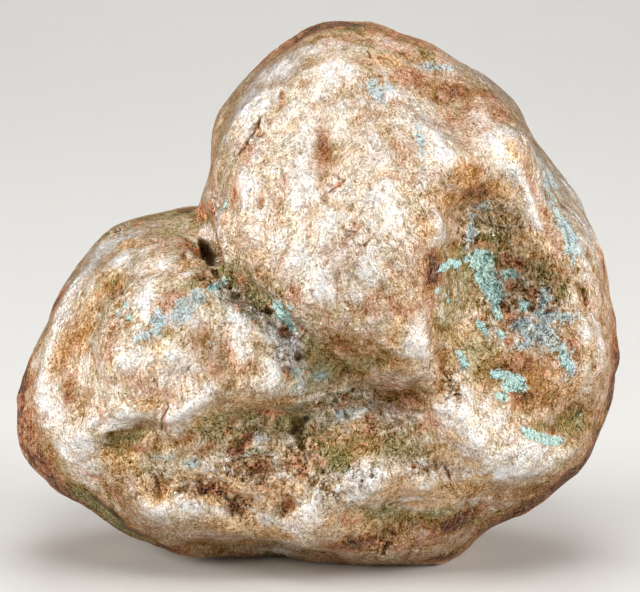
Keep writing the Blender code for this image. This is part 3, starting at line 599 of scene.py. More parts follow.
# Patches of mineral and oxide, and of painted highlight and painted shade, chosen and placed: the oval, and
# its strength, which fills the patch's middle where it is above 1. "streaks" are lines: places in the photo,
# reach and strength
patchFade = 0.7  # how fast a patch thins out from its middle
patches = {
    "turquoise": {
        "photo": [
            # tall lobe
            (225, 205, 0.45, 1.2, 0, 1.5), (322, 375, 1.6, 1, 0, 0.75),
            # hollow in the right flank
            (468, 258, 1.2, 0.7, -10, 1.2), (482, 261, 1.9, 1.5, 0, 1.6),
            (446, 268, 1.5, 0.5, -15, 1.3), (446, 266, 1.8, 0.7, -12, 1.4),
            (457, 264, 1.2, 0.6, 0, 1.3), (487, 277, 2, 1.7, 30, 1.6), (510, 274, 1.5, 0.7, 0, 1.4),
            (437, 291, 0.7, 0.6, 0, 1), (450, 300, 0.7, 0.6, 0, 1.1), (495, 291, 1.3, 1.9, -15, 1.5),
            (497, 310, 0.7, 2, -15, 1.3), (524, 305, 1, 1, 40, 1.2), (482, 326, 0.9, 1.3, -20, 1.2),
            (502, 334, 1, 0.9, 0, 1.1), (444, 350, 0.5, 0.4, 0, 1), (563, 353, 0.8, 0.9, 0, 1),
            (462, 361, 0.8, 1.6, -15, 1.2), (500, 375, 1.6, 0.9, 10, 1.2), (514, 383, 1.7, 1.3, 0, 1.5),
            (566, 366, 0.9, 1.6, -20, 1.1), (502, 397, 1.2, 0.9, 40, 1.3),
            # fissure
            (214, 286, 1.1, 0.6, -8, 1.6), (223, 280, 0.7, 0.45, 0, 1.6), (280, 311, 1, 1.5, -40, 2.2),
            (289, 308, 0.7, 0.5, 0, 1.4), (288, 323, 0.6, 1.4, -25, 2), (298, 372, 1, 1.4, 0, 0.8),
            # left lobe
            (124, 303, 0.7, 0.8, 0, 1.1), (100, 317, 0.7, 0.5, 0, 1.1), (116, 313, 0.6, 0.5, 0, 1),
            (129, 318, 0.9, 0.55, 0, 1.2),
            # trough
            (349, 417, 1.8, 0.6, -30, 0.75),
        ],
        "back": [
            (-13, 31, 3.4, 2.4, 20, 1.3), (-9, 37, 1.6, 1.2, 0, 1.1), (12, 25, 2.4, 0.8, 15, 1.2),
            (-12, 47, 0.8, 1.8, 0, 1.1),
        ],
        "left": [(3, 31, 1.4, 1.8, 0, 1)],
        "right": [(12, 31, 1, 2.4, 0, 1.1)],
        "top": [(-4, 6, 1.6, 1, 0, 1), (-16, 0, 0.8, 3, 0, 1)],
        "streaks": [
            (((525, 431), (535, 436), (548, 440), (560, 441)), 0.7, 1.3),
        ],
    },
    "blueFilm": {
        "photo": [
            # crown
            (440, 67, 4.4, 0.9, 8, 1.1), (376, 90, 2.4, 2, 0, 1.15),
            # tall lobe
            (226, 138, 1.6, 1, 0, 0.7), (421, 140, 1, 2.4, -10, 1.2), (378, 302, 0.4, 0.35, 0, 1.2),
            # right rim
            (536, 155, 0.8, 2.6, -25, 1.2), (548, 185, 1.2, 3, -20, 1.3),
            (552, 180, 1.6, 3.4, -25, 1.3), (560, 215, 1.3, 3.4, -15, 1.3),
            (572, 235, 1.5, 4, -12, 1.3), (570, 248, 1.1, 3.2, -12, 1.2),
            # hollow in the right flank
            (482, 210, 1.2, 2.4, 30, 1), (471, 235, 1.2, 2.6, 15, 1), (450, 293, 1, 0.8, 0, 1.1),
            (543, 299, 0.9, 2, 10, 1.3), (522, 325, 2, 1.3, -10, 1.3), (530, 335, 1.8, 1, 0, 1.1),
            (543, 334, 2.6, 1.5, 25, 1.4), (555, 316, 3.4, 0.9, 0, 1.4), (524, 345, 2, 0.9, 0, 1.2),
            (556, 346, 2.2, 1.2, 45, 1.4), (567, 362, 1.1, 2.4, -15, 1.4),
            # left lobe
            (182, 311, 1.5, 1.9, 20, 1.45), (195, 298, 1.5, 1.3, -40, 1.3),
            (145, 335, 2.2, 1, -15, 1.2), (158, 320, 1, 1.7, -10, 1.35), (212, 345, 1, 1, 0, 0.6),
            (92, 403, 0.8, 1.4, 0, 0.7), (162, 459, 1.2, 0.9, 0, 0.8),
            # trough
            (342, 414, 2, 0.9, -20, 0.8), (192, 463, 1.6, 1.2, 0, 0.8), (276, 462, 0.6, 1.6, 0, 0.8),
            (358, 478, 1.6, 1.4, 0, 0.7),
        ],
        "back": [(-16, 36, 5, 4, 20, 1), (14, 62, 5, 2.6, -30, 1), (30, 46, 2, 4, -15, 1)],
        "left": [(4, 26, 3, 4, 0, 0.9)],
        "right": [(10, 34, 3, 6, 15, 1)],
        "top": [(6, 8, 4, 2, -15, 0.9)],
    },
    "rust": {
        "photo": [
            # crown
            (282, 94, 0.9, 0.8, 0, 1.2), (395, 75, 2.4, 1.6, 0, 0.8), (280, 104, 0.4, 0.9, 0, 1.1),
            # tall lobe
            (335, 187, 1.6, 0.7, -30, 1), (470, 170, 4, 2.4, 0, 0.75), (203, 211, 2.2, 1.3, 8, 1.8),
            (205, 206, 0.9, 0.6, 0, 1.2), (211, 210, 1.8, 0.9, 8, 2.4), (261, 202, 0.7, 1.1, 0, 1),
            (364, 245, 0.9, 0.7, -35, 0.9),
            # right rim
            (586, 298, 0.5, 1.4, -5, 1.1),
            # hollow in the right flank
            (462, 208, 3, 3, 0, 0.7), (480, 242, 0.9, 0.6, 0, 1.2), (506, 261, 1.5, 1.5, 0, 1.2),
            (511, 286, 1, 0.9, 20, 1.3), (517, 266, 2, 1.6, 30, 1.2), (507, 317, 1.4, 1.4, 0, 1.2),
            (509, 341, 0.9, 0.9, 0, 1.3), (545, 375, 3, 2, 0, 0.7),
            # fissure
            (184, 238, 1.8, 0.6, 20, 1.2), (188, 246, 1.2, 0.9, 0, 1.3), (190, 241, 1.4, 0.7, 20, 1.1),
            (195, 248, 0.8, 1.8, 0, 1.6), (199, 250, 0.7, 1.2, 0, 1.2), (256, 322, 0.8, 0.6, 0, 1.1),
            (283, 333, 1, 1, 0, 1.8), (298, 357, 0.9, 0.7, 0, 1.3), (285, 366, 0.6, 0.6, 0, 1.1),
            (287, 373, 0.9, 0.9, 0, 1.3), (307, 372, 0.7, 0.4, -40, 1.2),
            # left lobe
            (118, 283, 0.45, 1.7, -8, 1.5), (99, 293, 1.6, 0.9, 0, 0.9), (103, 415, 0.9, 1.4, -30, 0.9),
            (164, 417, 0.5, 2.4, 12, 1), (160, 490, 1.8, 2.2, 0, 0.8),
            # trough
            (232, 428, 1.2, 1, 0, 0.8), (268, 412, 2.4, 1.2, 0, 1.3), (312, 427, 2, 0.8, 0, 0.8),
            (367, 416, 1.1, 0.8, 0, 1.2), (370, 429, 0.9, 0.8, 0, 1.4), (214, 434, 0.6, 0.4, 0, 1.2),
            (228, 433, 0.8, 0.5, 0, 1.3), (259, 468, 2.3, 1.5, -15, 1.3), (294, 466, 2, 1.6, 0, 1),
            (302, 470, 1.3, 1.2, 0, 1.3), (320, 462, 2, 1.4, 0, 0.8), (210, 488, 2.4, 1, 0, 1.3),
            (218, 488, 2.4, 0.9, 0, 1.4), (222, 490, 2.2, 1.4, -10, 1.2), (268, 487, 2, 0.7, 0, 1.2),
            (268, 490, 2, 0.8, 0, 0.9),
            # right cheek
            (400, 410, 2.2, 1, 0, 0.9), (404, 490, 1.4, 2.4, -20, 0.7),
            # lower edge
            (236, 506, 1.8, 1.1, 35, 1), (288, 508, 1.3, 0.8, -62, 1.5), (347, 520, 2, 1.2, 20, 1.1),
            (350, 520, 3, 1.6, 0, 0.85), (382, 542, 0.9, 0.9, 0, 1),
        ],
        "back": [
            (9, 25, 2.4, 1.6, 20, 1.3), (17, 22, 3, 1.4, -10, 1.2), (-8, 62, 1.4, 1, 40, 1.2),
            (-14, 29, 1.6, 1, 0, 1.2),
        ],
        "left": [(2, 28, 1.2, 1.8, 0, 1.1), (0, 50, 3, 0.9, 0, 1)],
        "right": [(12, 28, 1, 1.8, 0, 1.1)],
        "top": [(-4, 7, 1.4, 0.8, 30, 1.1)],
        "streaks": [
            (((358, 446), (368, 444), (384, 449)), 0.35, 1),
            (((231, 454), (239, 449), (248, 436)), 0.7, 1.9),
        ],
    },
    "olive": {
        "photo": [
            # crown
            (345, 30, 6, 1.6, 0, 1), (424, 41, 1.6, 1.4, 0, 1.2), (360, 50, 4, 2, 0, 0.6),
            (426, 52, 2.2, 1.6, 30, 1), (280, 95, 1.8, 1.6, 0, 0.7),
            # tall lobe
            (212, 133, 1.4, 2.6, 0, 1), (210, 150, 1.4, 4, 0, 1.2), (274, 288, 2.6, 0.8, 40, 1),
            (355, 365, 5, 2.2, -20, 1),
            # right rim
            (570, 425, 5, 3, 0, 1), (603, 425, 1.6, 3, 15, 1.2),
            # hollow in the right flank
            (452, 262, 3, 2.4, 0, 1.1), (466, 252, 2.6, 1.4, 0, 1.5), (490, 245, 3.4, 4.6, 0, 1.1),
            (465, 275, 3.4, 4.6, 0, 1), (540, 275, 4.6, 2.6, 30, 1), (450, 310, 3.4, 4.6, 0, 0.9),
            (562, 290, 2.4, 2, 0, 1.1), (480, 355, 4, 3.4, 0, 1),
            # fissure
            (207, 217, 0.9, 0.7, 0, 1.4), (202, 252, 1.2, 2.4, -15, 1.2), (198, 283, 1.6, 1.2, 0, 1.5),
            (248, 280, 4.4, 2, 38, 1.3), (271, 348, 1.2, 0.8, 0, 1.2), (290, 379, 2, 0.7, 0, 1.3),
            (310, 375, 4, 3.6, 0, 1.1),
            # left lobe
            (165, 214, 7, 1.6, -8, 1.1), (170, 225, 3.4, 1.4, -8, 0.9), (172, 232, 2.4, 1.4, 10, 1.1),
            (115, 280, 3, 2, 0, 0.9), (98, 330, 2, 5, 0, 0.7), (267, 351, 2.2, 1, 40, 0.8),
            (120, 455, 4, 2, 0, 0.8), (130, 437, 3.8, 1, -16, 1.2), (150, 462, 6, 2.6, 0, 0.7),
            # trough
            (335, 402, 5, 3.2, 0, 0.9), (216, 430, 2.6, 1.6, 0, 1.4), (223, 419, 1.8, 1.6, 0, 1.8),
            (225, 430, 5, 2.6, 20, 1.2), (240, 418, 6.5, 2.6, -5, 1.1), (252, 417, 0.9, 0.8, 0, 1.6),
            (282, 421, 1.8, 0.9, -20, 1.9), (290, 420, 2.4, 1.2, -25, 1.5), (290, 430, 5, 4, 0, 1.1),
            (262, 452, 2.4, 0.7, 0, 1.4), (322, 437, 1.2, 1.8, 0, 1.4), (323, 452, 2.4, 1, 5, 1.5),
            (333, 455, 2.6, 1.1, 0, 1.7), (350, 445, 6, 3, 0, 0.9), (360, 444, 2.6, 1.2, 0, 1.3),
            (393, 450, 4.4, 2.4, 0, 1.1), (240, 462, 5, 1.4, 0, 0.8), (335, 462, 2.6, 1.6, 0, 1.4),
            (337, 458, 3.6, 2.6, -30, 1.2),
            # right cheek
            (540, 428, 2.2, 1, 8, 1.2),
            # lower edge
            (108, 500, 3.4, 1.6, 30, 0.6), (160, 520, 4, 1.6, 0, 0.7), (380, 511, 3, 1.1, 8, 1.7),
            (385, 518, 5.6, 2, -8, 1), (440, 512, 4, 1.6, -10, 0.9),
        ],
        "back": [
            (-12, 33, 10, 11, 25, 0.9), (12, 25, 10, 5, 10, 1), (-12, 47, 5, 7, 0, 1),
            (14, 62, 8, 5, -30, 0.8),
        ],
        "left": [(8, 48, 8, 5, 0, 1), (4, 26, 6, 8, 0, 0.8)],
        "right": [(10, 34, 6, 10, 15, 0.8)],
        "top": [(-17, 0, 4, 14, 0, 0.9)],
        "under": [(0, 0, 24, 14, 0, 0.8)],
        "streaks": [
            (((313, 345), (316, 365), (310, 385)), 1.6, 1.4),
            (((84, 497), (103, 510), (120, 525), (136, 537)), 2.8, 1.3),
            (((222, 268), (234, 282), (250, 297), (268, 306)), 0.6, 1.6),
            (((222, 268), (240, 286), (262, 302)), 1.2, 1.2),
        ],
    },
    # brown oxide; along the rims and the lower edge these patches are also painted shade, darkening the skin
    # where it turns away
    "brown": {
        "photo": [
            # crown
            (382, 44, 2.4, 1, 15, 1.2), (380, 60, 6, 2, 15, 0.7), (409, 71, 2.6, 1.2, 20, 1.5),
            (415, 82, 4.6, 1.5, 18, 1.1), (462, 90, 6.4, 1.9, 20, 1.1), (478, 108, 2.4, 1.4, 25, 1.1),
            # tall lobe
            (498, 110, 4.4, 1.8, 32, 0.9), (474, 122, 2.6, 2, 20, 1), (210, 150, 1.8, 5, 0, 1.7),
            (247, 153, 1.4, 1.6, 0, 0.9), (325, 150, 1.8, 4.6, -8, 0.9), (400, 150, 1.6, 4, -10, 0.4),
            (207, 172, 1.6, 2.6, 0, 1.8), (286, 179, 1.6, 1.6, 0, 0.6), (458, 178, 3, 1.6, 0, 1),
            (233, 194, 1.6, 2, 0, 1), (353, 226, 1.4, 1.2, 0, 0.8), (340, 252, 2.4, 1.6, 0, 0.5),
            (260, 279, 2, 1, 40, 1.2), (270, 280, 1.4, 3.4, -48, 0.9), (274, 288, 2.4, 0.7, 40, 1.7),
            (290, 296, 1.2, 1.4, 0, 0.8), (295, 296, 1.2, 1.2, 0, 1.3), (371, 300, 1.6, 2, 0, 0.9),
            (398, 306, 1.6, 1.8, 0, 0.9), (430, 290, 3.6, 6, 0, 0.7), (414, 313, 1.6, 2, 0, 0.9),
            (333, 355, 3.4, 1.6, 10, 0.9), (348, 352, 5, 2.6, 15, 0.9), (355, 371, 2.4, 1, 15, 1.4),
            (398, 388, 4.4, 1.6, 8, 0.7),
            # right rim: brown oxide, with painted shade where the skin turns away
            (528, 175, 1, 7, -22, 0.9), (590, 222, 1.6, 6, -20, 0.6), (604, 264, 1.3, 3.2, -10, 1.8),
            (607, 270, 1.6, 3, -8, 1.2), (616, 322, 1.6, 2.6, 5, 1.3), (574, 347, 1.2, 2, 0, 1),
            (575, 420, 4.6, 3.2, 0, 1.1), (579, 429, 1.8, 1.6, 0, 1.4), (594, 447, 1.6, 3.2, 20, 2.1),
            (573, 481, 6, 4.4, -35, 2),
            # hollow in the right flank
            (478, 192, 5.6, 1.8, 8, 1.2), (514, 228, 1.8, 4, -30, 0.5), (453, 258, 3.8, 2.2, -20, 1),
            (467, 252, 2.4, 1.3, 0, 2), (484, 246, 1.8, 1.4, 0, 0.9), (488, 248, 2.4, 1.4, -10, 1.5),
            (553, 240, 1.2, 2.6, -20, 1), (434, 272, 2, 2.8, 0, 1.8), (545, 270, 4, 2.6, 40, 1.2),
            (557, 284, 1.6, 2.2, 0, 2), (533, 296, 1.4, 2, 0, 1.2), (444, 365, 1.6, 1.6, 0, 1.1),
            (520, 365, 6, 2.6, 0, 1.1), (530, 391, 2.8, 1.6, -10, 1.7),
            # fissure
            (185, 245, 1.8, 1.2, 0, 1.4), (204, 277, 1.6, 1.2, 30, 1.2), (250, 278, 3.6, 1.6, 38, 0.9),
            (279, 293, 1.6, 1, 40, 1.2),
            # left lobe
            (195, 203, 2.4, 1, 0, 1.6), (112, 288, 1.6, 1.4, 0, 1.3), (162, 309, 1.4, 1.6, 0, 0.9),
            (173, 298, 1.6, 1.4, 0, 0.8), (106, 350, 1.6, 5, -8, 0.5), (200, 345, 2, 4, 0, 0.6),
            (227, 351, 1.4, 1.6, 0, 0.9), (264, 348, 2, 0.8, 50, 1.1), (214, 380, 1.4, 2.4, 0, 0.8),
            (256, 370, 1.8, 1.4, 0, 0.9), (130, 385, 5, 2, -20, 0.6), (148, 402, 2.4, 1.2, -10, 0.8),
            (169, 400, 1.6, 1.6, 0, 0.8), (141, 448, 2.6, 1, 0, 1.3), (150, 440, 5, 1.2, -16, 0.8),
            # left rim: painted shade where the skin turns away, with brown oxide
            (56, 302, 1.6, 3, 20, 1.9), (68, 350, 1.6, 5, 12, 0.9), (36, 402, 1, 3, 0, 0.9),
            (69, 387, 1.4, 2.4, 0, 1.1),
            # trough
            (190, 440, 3, 1.6, -30, 0.6), (210, 446, 2, 1.1, -30, 1.3), (364, 443, 4, 1.1, 0, 1.9),
            (395, 449, 4, 1.4, -5, 0.9), (320, 461, 1.6, 1, 0, 1.1), (337, 457, 3.2, 1.6, 0, 0.8),
            (339, 463, 2, 1, 0, 2),
            # right cheek
            (405, 396, 4, 1.2, 6, 0.9), (555, 400, 4, 2.2, 0, 0.7), (432, 426, 2, 1.4, 0, 0.8),
            (536, 426, 2, 0.9, 0, 1.1), (553, 431, 2.2, 1.2, 0, 1.3), (568, 482, 3, 1.4, -40, 2.1),
            # lower edge: brown oxide, with painted shade along the bottom
            (120, 500, 6, 2.4, 28, 0.7), (500, 500, 6, 1.6, -12, 0.6), (400, 524, 5, 2.2, 0, 0.9),
            (456, 523, 3.2, 1.6, -20, 2.1), (163, 550, 4.4, 1.6, 10, 1.7), (215, 545, 9, 1.6, 5, 0.5),
            (353, 545, 4, 1.5, 0, 1.9), (400, 545, 10, 2, 0, 0.8), (446, 558, 5, 1.4, 0, 1.6),
        ],
        "back": [
            (-12, 33, 9, 12, 25, 0.9), (14, 24, 12, 5, 10, 0.9), (14, 62, 8, 5, -30, 0.8),
            (-12, 48, 4, 7, 0, 1), (-22, 22, 9, 3.6, 24, 0.8), (-37, 22, 3.6, 9, 0, 0.8),
            (2, 33, 9, 3, -24, 0.7), (34, 26, 4, 9, 14, 0.8), (16, 14, 12, 3, 8, 0.9),
            (-14, 6, 14, 3, -4, 0.9), (-10, 64, 3.6, 9, -24, 0.8), (30, 52, 3, 9, -20, 0.8),
            (0, 76, 12, 2.6, 0, 0.8),
        ],
        "left": [
            (-8, 24, 8, 10, 0, 0.7), (-2, 64, 8, 8, 0, 0.6), (8, 48, 8, 4, 0, 1), (4, 26, 6, 8, 0, 0.7),
            (4, 7, 10, 3, 0, 0.9), (15, 32, 3, 9, 0, 0.8),
        ],
        "right": [
            (-8, 36, 8, 12, 0, 0.6), (10, 34, 6, 10, 15, 0.8), (8, 13, 10, 3, 0, 0.9),
            (17, 30, 3, 10, 0, 0.8),
        ],
        "top": [
            (0, 2, 16, 9, 0, 0.6), (6, 8, 9, 5, -15, 0.7), (-2, 17, 10, 3, 0, 0.9),
            (21, 6, 4, 8, 0, 0.8),
        ],
        "under": [(0, 0, 30, 18, 0, 0.7)],
        # streaks along the rims and the lower edge: painted shade as well as brown oxide
        "streaks": [
            (((318, 38), (345, 38), (378, 44), (402, 52)), 1.8, 1.1),
            (((213, 126), (208, 155), (212, 185)), 1.2, 0.9),
            (((20, 386), (17, 402), (18, 430), (29, 458)), 4.4, 2.1),
            (((617, 358), (616, 375), (610, 400)), 4, 1.6),
            (((226, 205), (221, 225), (220, 245), (224, 262)), 0.9, 0.5),
            (((296, 36), (318, 28), (348, 25), (380, 29), (404, 37), (422, 45)), 4.2, 1.45),
            (((211, 132), (222, 102), (236, 86), (262, 62), (286, 40)), 2.4, 1.15),
            (((140, 216), (165, 212), (190, 209)), 1.5, 1.1),
            (((17, 398), (19, 430), (34, 462), (58, 488), (72, 498)), 3.2, 1.6),
            (((84, 498), (104, 512), (130, 532)), 3.2, 2),
            (((618, 345), (617, 375), (611, 400), (600, 436)), 2.6, 1),
            (((600, 436), (580, 468), (554, 490), (520, 512), (490, 528)), 3, 1.4),
        ],
    },
    "ochre": {
        "photo": [
            # crown
            (390, 60, 4, 2, 15, 0.9),
            # tall lobe
            (350, 150, 3, 3, 0, 0.6), (466, 178, 2.8, 1.6, 0, 1.3), (430, 230, 2.6, 1.6, 0, 0.7),
            (397, 331, 2, 3, 0, 0.9), (335, 350, 4, 3, 0, 0.35), (402, 366, 2.4, 1.8, 0, 1.1),
            # right rim
            (514, 152, 1.6, 2.6, -25, 0.9), (500, 190, 4, 2.6, 20, 0.8), (573, 386, 2.6, 2, 0, 1),
            # hollow in the right flank
            (451, 202, 2.4, 1.8, 0, 1), (500, 219, 2.2, 1.6, 0, 0.8), (531, 246, 2.2, 1.8, 0, 1.5),
            (540, 380, 4, 3, 0, 0.8), (447, 385, 2, 1.8, 0, 1),
            # fissure
            (190, 262, 3, 1.6, 0, 0.8), (240, 275, 3, 2, 35, 0.8),
            # left lobe
            (112, 253, 2.6, 1.8, -30, 0.8), (130, 243, 3.4, 1.6, -20, 1.1), (110, 280, 3, 2.6, 0, 0.8),
            (85, 330, 2.4, 5, 8, 0.7), (148, 404, 3, 1.4, -10, 1), (120, 460, 5, 2.4, 0, 0.9),
            (155, 490, 3, 2.6, 0, 1),
            # left rim
            (62, 350, 2, 5, 12, 0.7),
            # trough
            (249, 401, 3, 1.2, 0, 1.1), (250, 399, 3, 1.2, 0, 1), (264, 405, 4, 1.4, 0, 1.6),
            (363, 403, 2, 1, 0, 0.8), (225, 420, 6, 3, 5, 0.9), (266, 411, 3.4, 1.6, 0, 1.2),
            (365, 427, 3, 1.4, 0, 1.1), (240, 441, 1.8, 1.4, 0, 1.5), (300, 450, 6, 5, 0, 0.9),
            (350, 440, 6, 4, 0, 0.8), (251, 466, 3, 1.6, 0, 1.4), (190, 480, 5, 3, 0, 0.8),
            (210, 490, 3, 1.4, 0, 1.4), (222, 497, 2.4, 1.2, 0, 1.5), (250, 485, 9, 4, 8, 0.9),
            # right cheek
            (484, 428, 3, 2, 30, 0.7), (442, 455, 3, 1.8, 0, 1.2), (452, 435, 2, 1.6, 0, 0.8),
            (472, 464, 2.6, 1.4, 0, 0.8), (483, 477, 2.2, 1.2, 0, 0.9), (400, 490, 4, 3, 0, 0.9),
            (445, 492, 6, 2, 0, 1.1), (480, 484, 3, 1.4, 0, 1),
            # lower edge
            (422, 503, 3, 1.4, 0, 1), (232, 527, 4, 1.8, 0, 1.4), (355, 520, 5, 2.4, 10, 1),
            (434, 505, 3.6, 1.2, 0, 1.1), (250, 540, 7, 2, 0, 0.9), (273, 535, 3.4, 1.6, 0, 1.2),
        ],
        "back": [(12, 26, 9, 5, 10, 0.8), (-14, 32, 7, 6, 20, 0.7)],
        "left": [(2, 30, 6, 6, 0, 0.7)],
        "right": [(10, 30, 5, 7, 0, 0.7)],
        "top": [(-4, 6, 5, 4, 0, 0.7)],
    },
    # painted shade: dark marks inside holes, gaps and crevices where shade falls, and along the rims where
    # the skin turns away
    "shade": {
        "photo": [
            # tall lobe
            (327, 362, 0.7, 0.3, 10, 1.1), (348, 372, 0.7, 0.4, 30, 1),
            # hollow in the right flank
            (472, 236, 1, 1.6, 0, 0.65), (465, 250, 1.6, 0.8, 0, 0.65),
            # fissure
            (280, 353, 0.6, 0.3, -30, 1), (297, 355, 0.4, 0.6, 0, 1), (300, 356, 0.5, 0.7, -30, 1.25),
            (289, 368, 0.8, 0.35, 10, 1.2), (304, 376, 0.25, 0.5, 0, 1.2),
            # left rim
            (56, 302, 1.2, 2.8, 20, 0.62),
            # trough
            (262, 470, 0.5, 0.8, 20, 1), (204, 489, 0.6, 0.4, 0, 1.1),
        ],
        "streaks": [
            (((286, 346), (285, 353), (283, 362)), 0.22, 1.1),
            (((22, 372), (17, 400), (18, 432), (30, 458)), 2.2, 0.62),
            (((210, 144), (213, 124), (224, 102), (236, 88)), 1.5, 0.8),
            (((96, 500), (110, 510), (126, 524), (142, 536)), 1.8, 0.8),
            (((118, 274), (118, 281), (120, 290)), 0.26, 1.25),
            (((184, 236), (192, 241), (198, 248)), 0.24, 1.1),
            (((183, 270), (189, 268), (194, 269)), 0.2, 1.05),
            (((333, 404), (335, 409), (338, 412)), 0.3, 1.3),
            (((240, 459), (252, 456), (268, 458), (273, 464)), 0.22, 1.2),
            (((357, 447), (366, 446), (374, 449)), 0.18, 1.1),
            (((296, 462), (303, 467), (300, 475)), 0.2, 1.1),
            (((222, 494), (232, 502), (240, 510)), 0.35, 1.2),
            (((266, 344), (272, 349), (280, 346)), 0.2, 1.1),
            (((289, 360), (294, 366), (302, 369)), 0.22, 1.1),
            (((276, 356), (284, 361), (290, 357)), 0.2, 1.1),
            (((203, 243), (206, 250), (208, 257), (211, 263)), 0.75, 1.5),
            (((213, 268), (217, 275)), 0.45, 1.3), (((226, 285), (232, 290)), 0.35, 1.2),
            (((240, 300), (245, 298), (250, 298)), 0.45, 1.2), (((262, 309), (270, 310)), 0.25, 1.1),
            (((286, 324), (291, 331), (289, 337)), 0.28, 1.3),
            (((292, 433), (297, 426), (307, 418)), 0.42, 1.3),
            (((295, 430), (299, 438), (303, 446)), 0.42, 1.3),
            (((303, 446), (304, 456), (309, 467), (315, 472)), 0.26, 1.2),
            (((318, 476), (325, 484), (329, 494)), 0.24, 1.1),
            (((229, 453), (236, 451), (241, 444)), 0.28, 1.2),
            (((232, 500), (238, 507), (246, 517)), 0.32, 1.1), (((284, 516), (289, 507)), 0.3, 1),
            (((112, 441), (128, 437), (150, 430)), 0.9, 0.62),
            (((104, 446), (116, 446), (126, 449), (137, 452)), 0.22, 1.1),
            (((396, 402), (408, 408), (424, 412)), 0.35, 0.9),
        ],
    },
    # rubbed metal; on the front many of these are painted highlights, and some are painted light over ground
    # that lies in shade
    "bareAndPaintedLight": {
        "photo": [
            # crown
            (287, 64, 2.4, 2, 0, 1.1), (290, 68, 1.8, 1.8, 0, 1.5), (309, 50, 2.6, 1.2, -10, 1.5),
            (336, 70, 4, 2.4, 0, 1.1), (273, 74, 1.6, 2.4, 40, 1.6), (400, 93, 3, 1.8, 10, 0.9),
            (248, 96, 1.6, 2.6, 35, 1.3), (255, 105, 2.4, 3.6, 35, 0.9), (293, 105, 1.8, 2.4, 0, 1.2),
            (419, 108, 2, 3, -30, 1),
            # tall lobe
            (278, 140, 2.2, 3, 0, 1), (310, 120, 1.6, 7, 0, 0.8), (336, 127, 1.6, 2.4, 0, 1.2),
            (400, 130, 1.6, 2.4, 0, 1), (443, 150, 2.4, 5, -10, 1), (247, 184, 2.2, 2.8, 0, 0.8),
            (302, 190, 2.2, 3, 0, 1), (310, 170, 13, 14, 0, 0.5), (388, 210, 3, 4.4, 10, 1.1),
            (335, 216, 3, 1.8, 0, 1), (305, 262, 2.4, 2.4, 0, 1.2), (370, 262, 1.8, 4, 10, 0.9),
            (367, 281, 1.6, 2.4, 0, 1.2), (322, 292, 3, 2, -20, 0.9), (417, 345, 2, 3.4, 0, 1),
            # right rim
            (505, 155, 2.6, 6.4, -25, 1.1), (575, 190, 1, 6, -25, 1.1), (532, 200, 1.2, 5, -25, 0.9),
            (580, 237, 1, 3, -15, 1.2), (585, 260, 1.4, 8, -12, 0.8), (597, 240, 1, 6, -12, 1.1),
            (588, 332, 1.2, 1.6, 0, 1), (599, 330, 1.2, 3, 5, 1.6), (584, 382, 1.6, 2, 0, 1.2),
            # hollow in the right flank
            (439, 236, 1.6, 2, 0, 1.3), (530, 246, 2, 1.6, -30, 1), (442, 308, 1.4, 1.8, 0, 1.1),
            (537, 352, 1.4, 1, 0, 1.2), (455, 395, 1.4, 2, 0, 1),
            # fissure
            (207, 230, 1.8, 1.3, 0, 1.2), (228, 296, 1.4, 1.2, 0, 2), (228, 300, 1.4, 1.4, 0, 1.6),
            (236, 318, 1.6, 1.6, 0, 1.2), (271, 326, 1.3, 1.2, 0, 1), (276, 328, 1.2, 1.2, 0, 1.9),
            (280, 328, 1.2, 1, 0, 1.2), (270, 343, 0.9, 1.2, 0, 1.6), (283, 345, 1.8, 1.2, 0, 2.8),
            (285, 352, 1.8, 1.4, 20, 1.8), (286, 350, 2.2, 3, 0, 1.4), (287, 349, 1.8, 1.6, 0, 2.2),
            (275, 362, 1.4, 1.6, 0, 2.4), (290, 360, 0.9, 1.5, 15, 3), (298, 368, 1.4, 1.2, 0, 2.8),
            (302, 382, 1.2, 0.8, 0, 2.6), (303, 375, 1.4, 1, 0, 1.9), (318, 376, 1.4, 1, 0, 1.5),
            (300, 385, 1.6, 1, 0, 1.2),
            # left lobe
            (112, 243, 3.6, 1.8, -40, 1.4), (112, 251, 2.4, 1.4, -40, 1.3),
            (112, 244, 4, 1.8, -40, 1.1), (120, 257, 2.2, 1.5, 0, 1.8), (144, 251, 1.4, 1.6, 0, 1),
            (162, 264, 1.8, 1.3, 0, 1.5), (187, 273, 0.8, 0.6, -20, 1.6), (145, 298, 1.4, 2, 0, 1.5),
            (145, 297, 1.4, 3.2, 0, 1), (199, 321, 1.4, 1.6, 0, 1.2), (175, 357, 3, 1.6, -20, 1),
            (233, 345, 3.4, 1.6, -50, 1), (83, 369, 2, 2.4, 0, 1.3), (138, 360, 2.2, 1.6, -20, 1.3),
            (164, 377, 2, 1.5, 0, 1.2), (189, 360, 1.6, 1.4, 0, 1.6), (192, 364, 1.4, 1.4, 0, 1.4),
            (270, 380, 2.6, 1.6, 0, 1), (102, 386, 2, 2.6, 0, 1), (115, 392, 1.8, 1.8, 0, 1.3),
            (114, 426, 2.6, 1, -20, 0.9), (116, 421, 3, 0.9, -16, 1.4), (116, 425, 2.6, 1, -15, 1),
            (124, 422, 3.2, 1.1, -12, 1.9), (126, 418, 2.6, 1, -12, 2.4), (130, 413, 2.6, 1.6, 10, 1.1),
            (178, 428, 2, 1.2, -40, 1.4), (181, 421, 2, 1.2, -45, 1), (189, 416, 2.4, 1.2, -40, 2.4),
            (83, 444, 2, 1.8, 40, 1.6), (163, 433, 1.6, 1, 0, 1.2), (88, 482, 2.2, 1.6, 40, 1),
            # left rim
            (37, 360, 1.4, 2.4, 15, 1.2), (67, 452, 2.2, 1.6, 40, 1.6),
            # trough
            (204, 403, 0.9, 1.6, 0, 1.4), (249, 401, 2.4, 1.2, 0, 1.2), (364, 406, 1.4, 1, 0, 1.2),
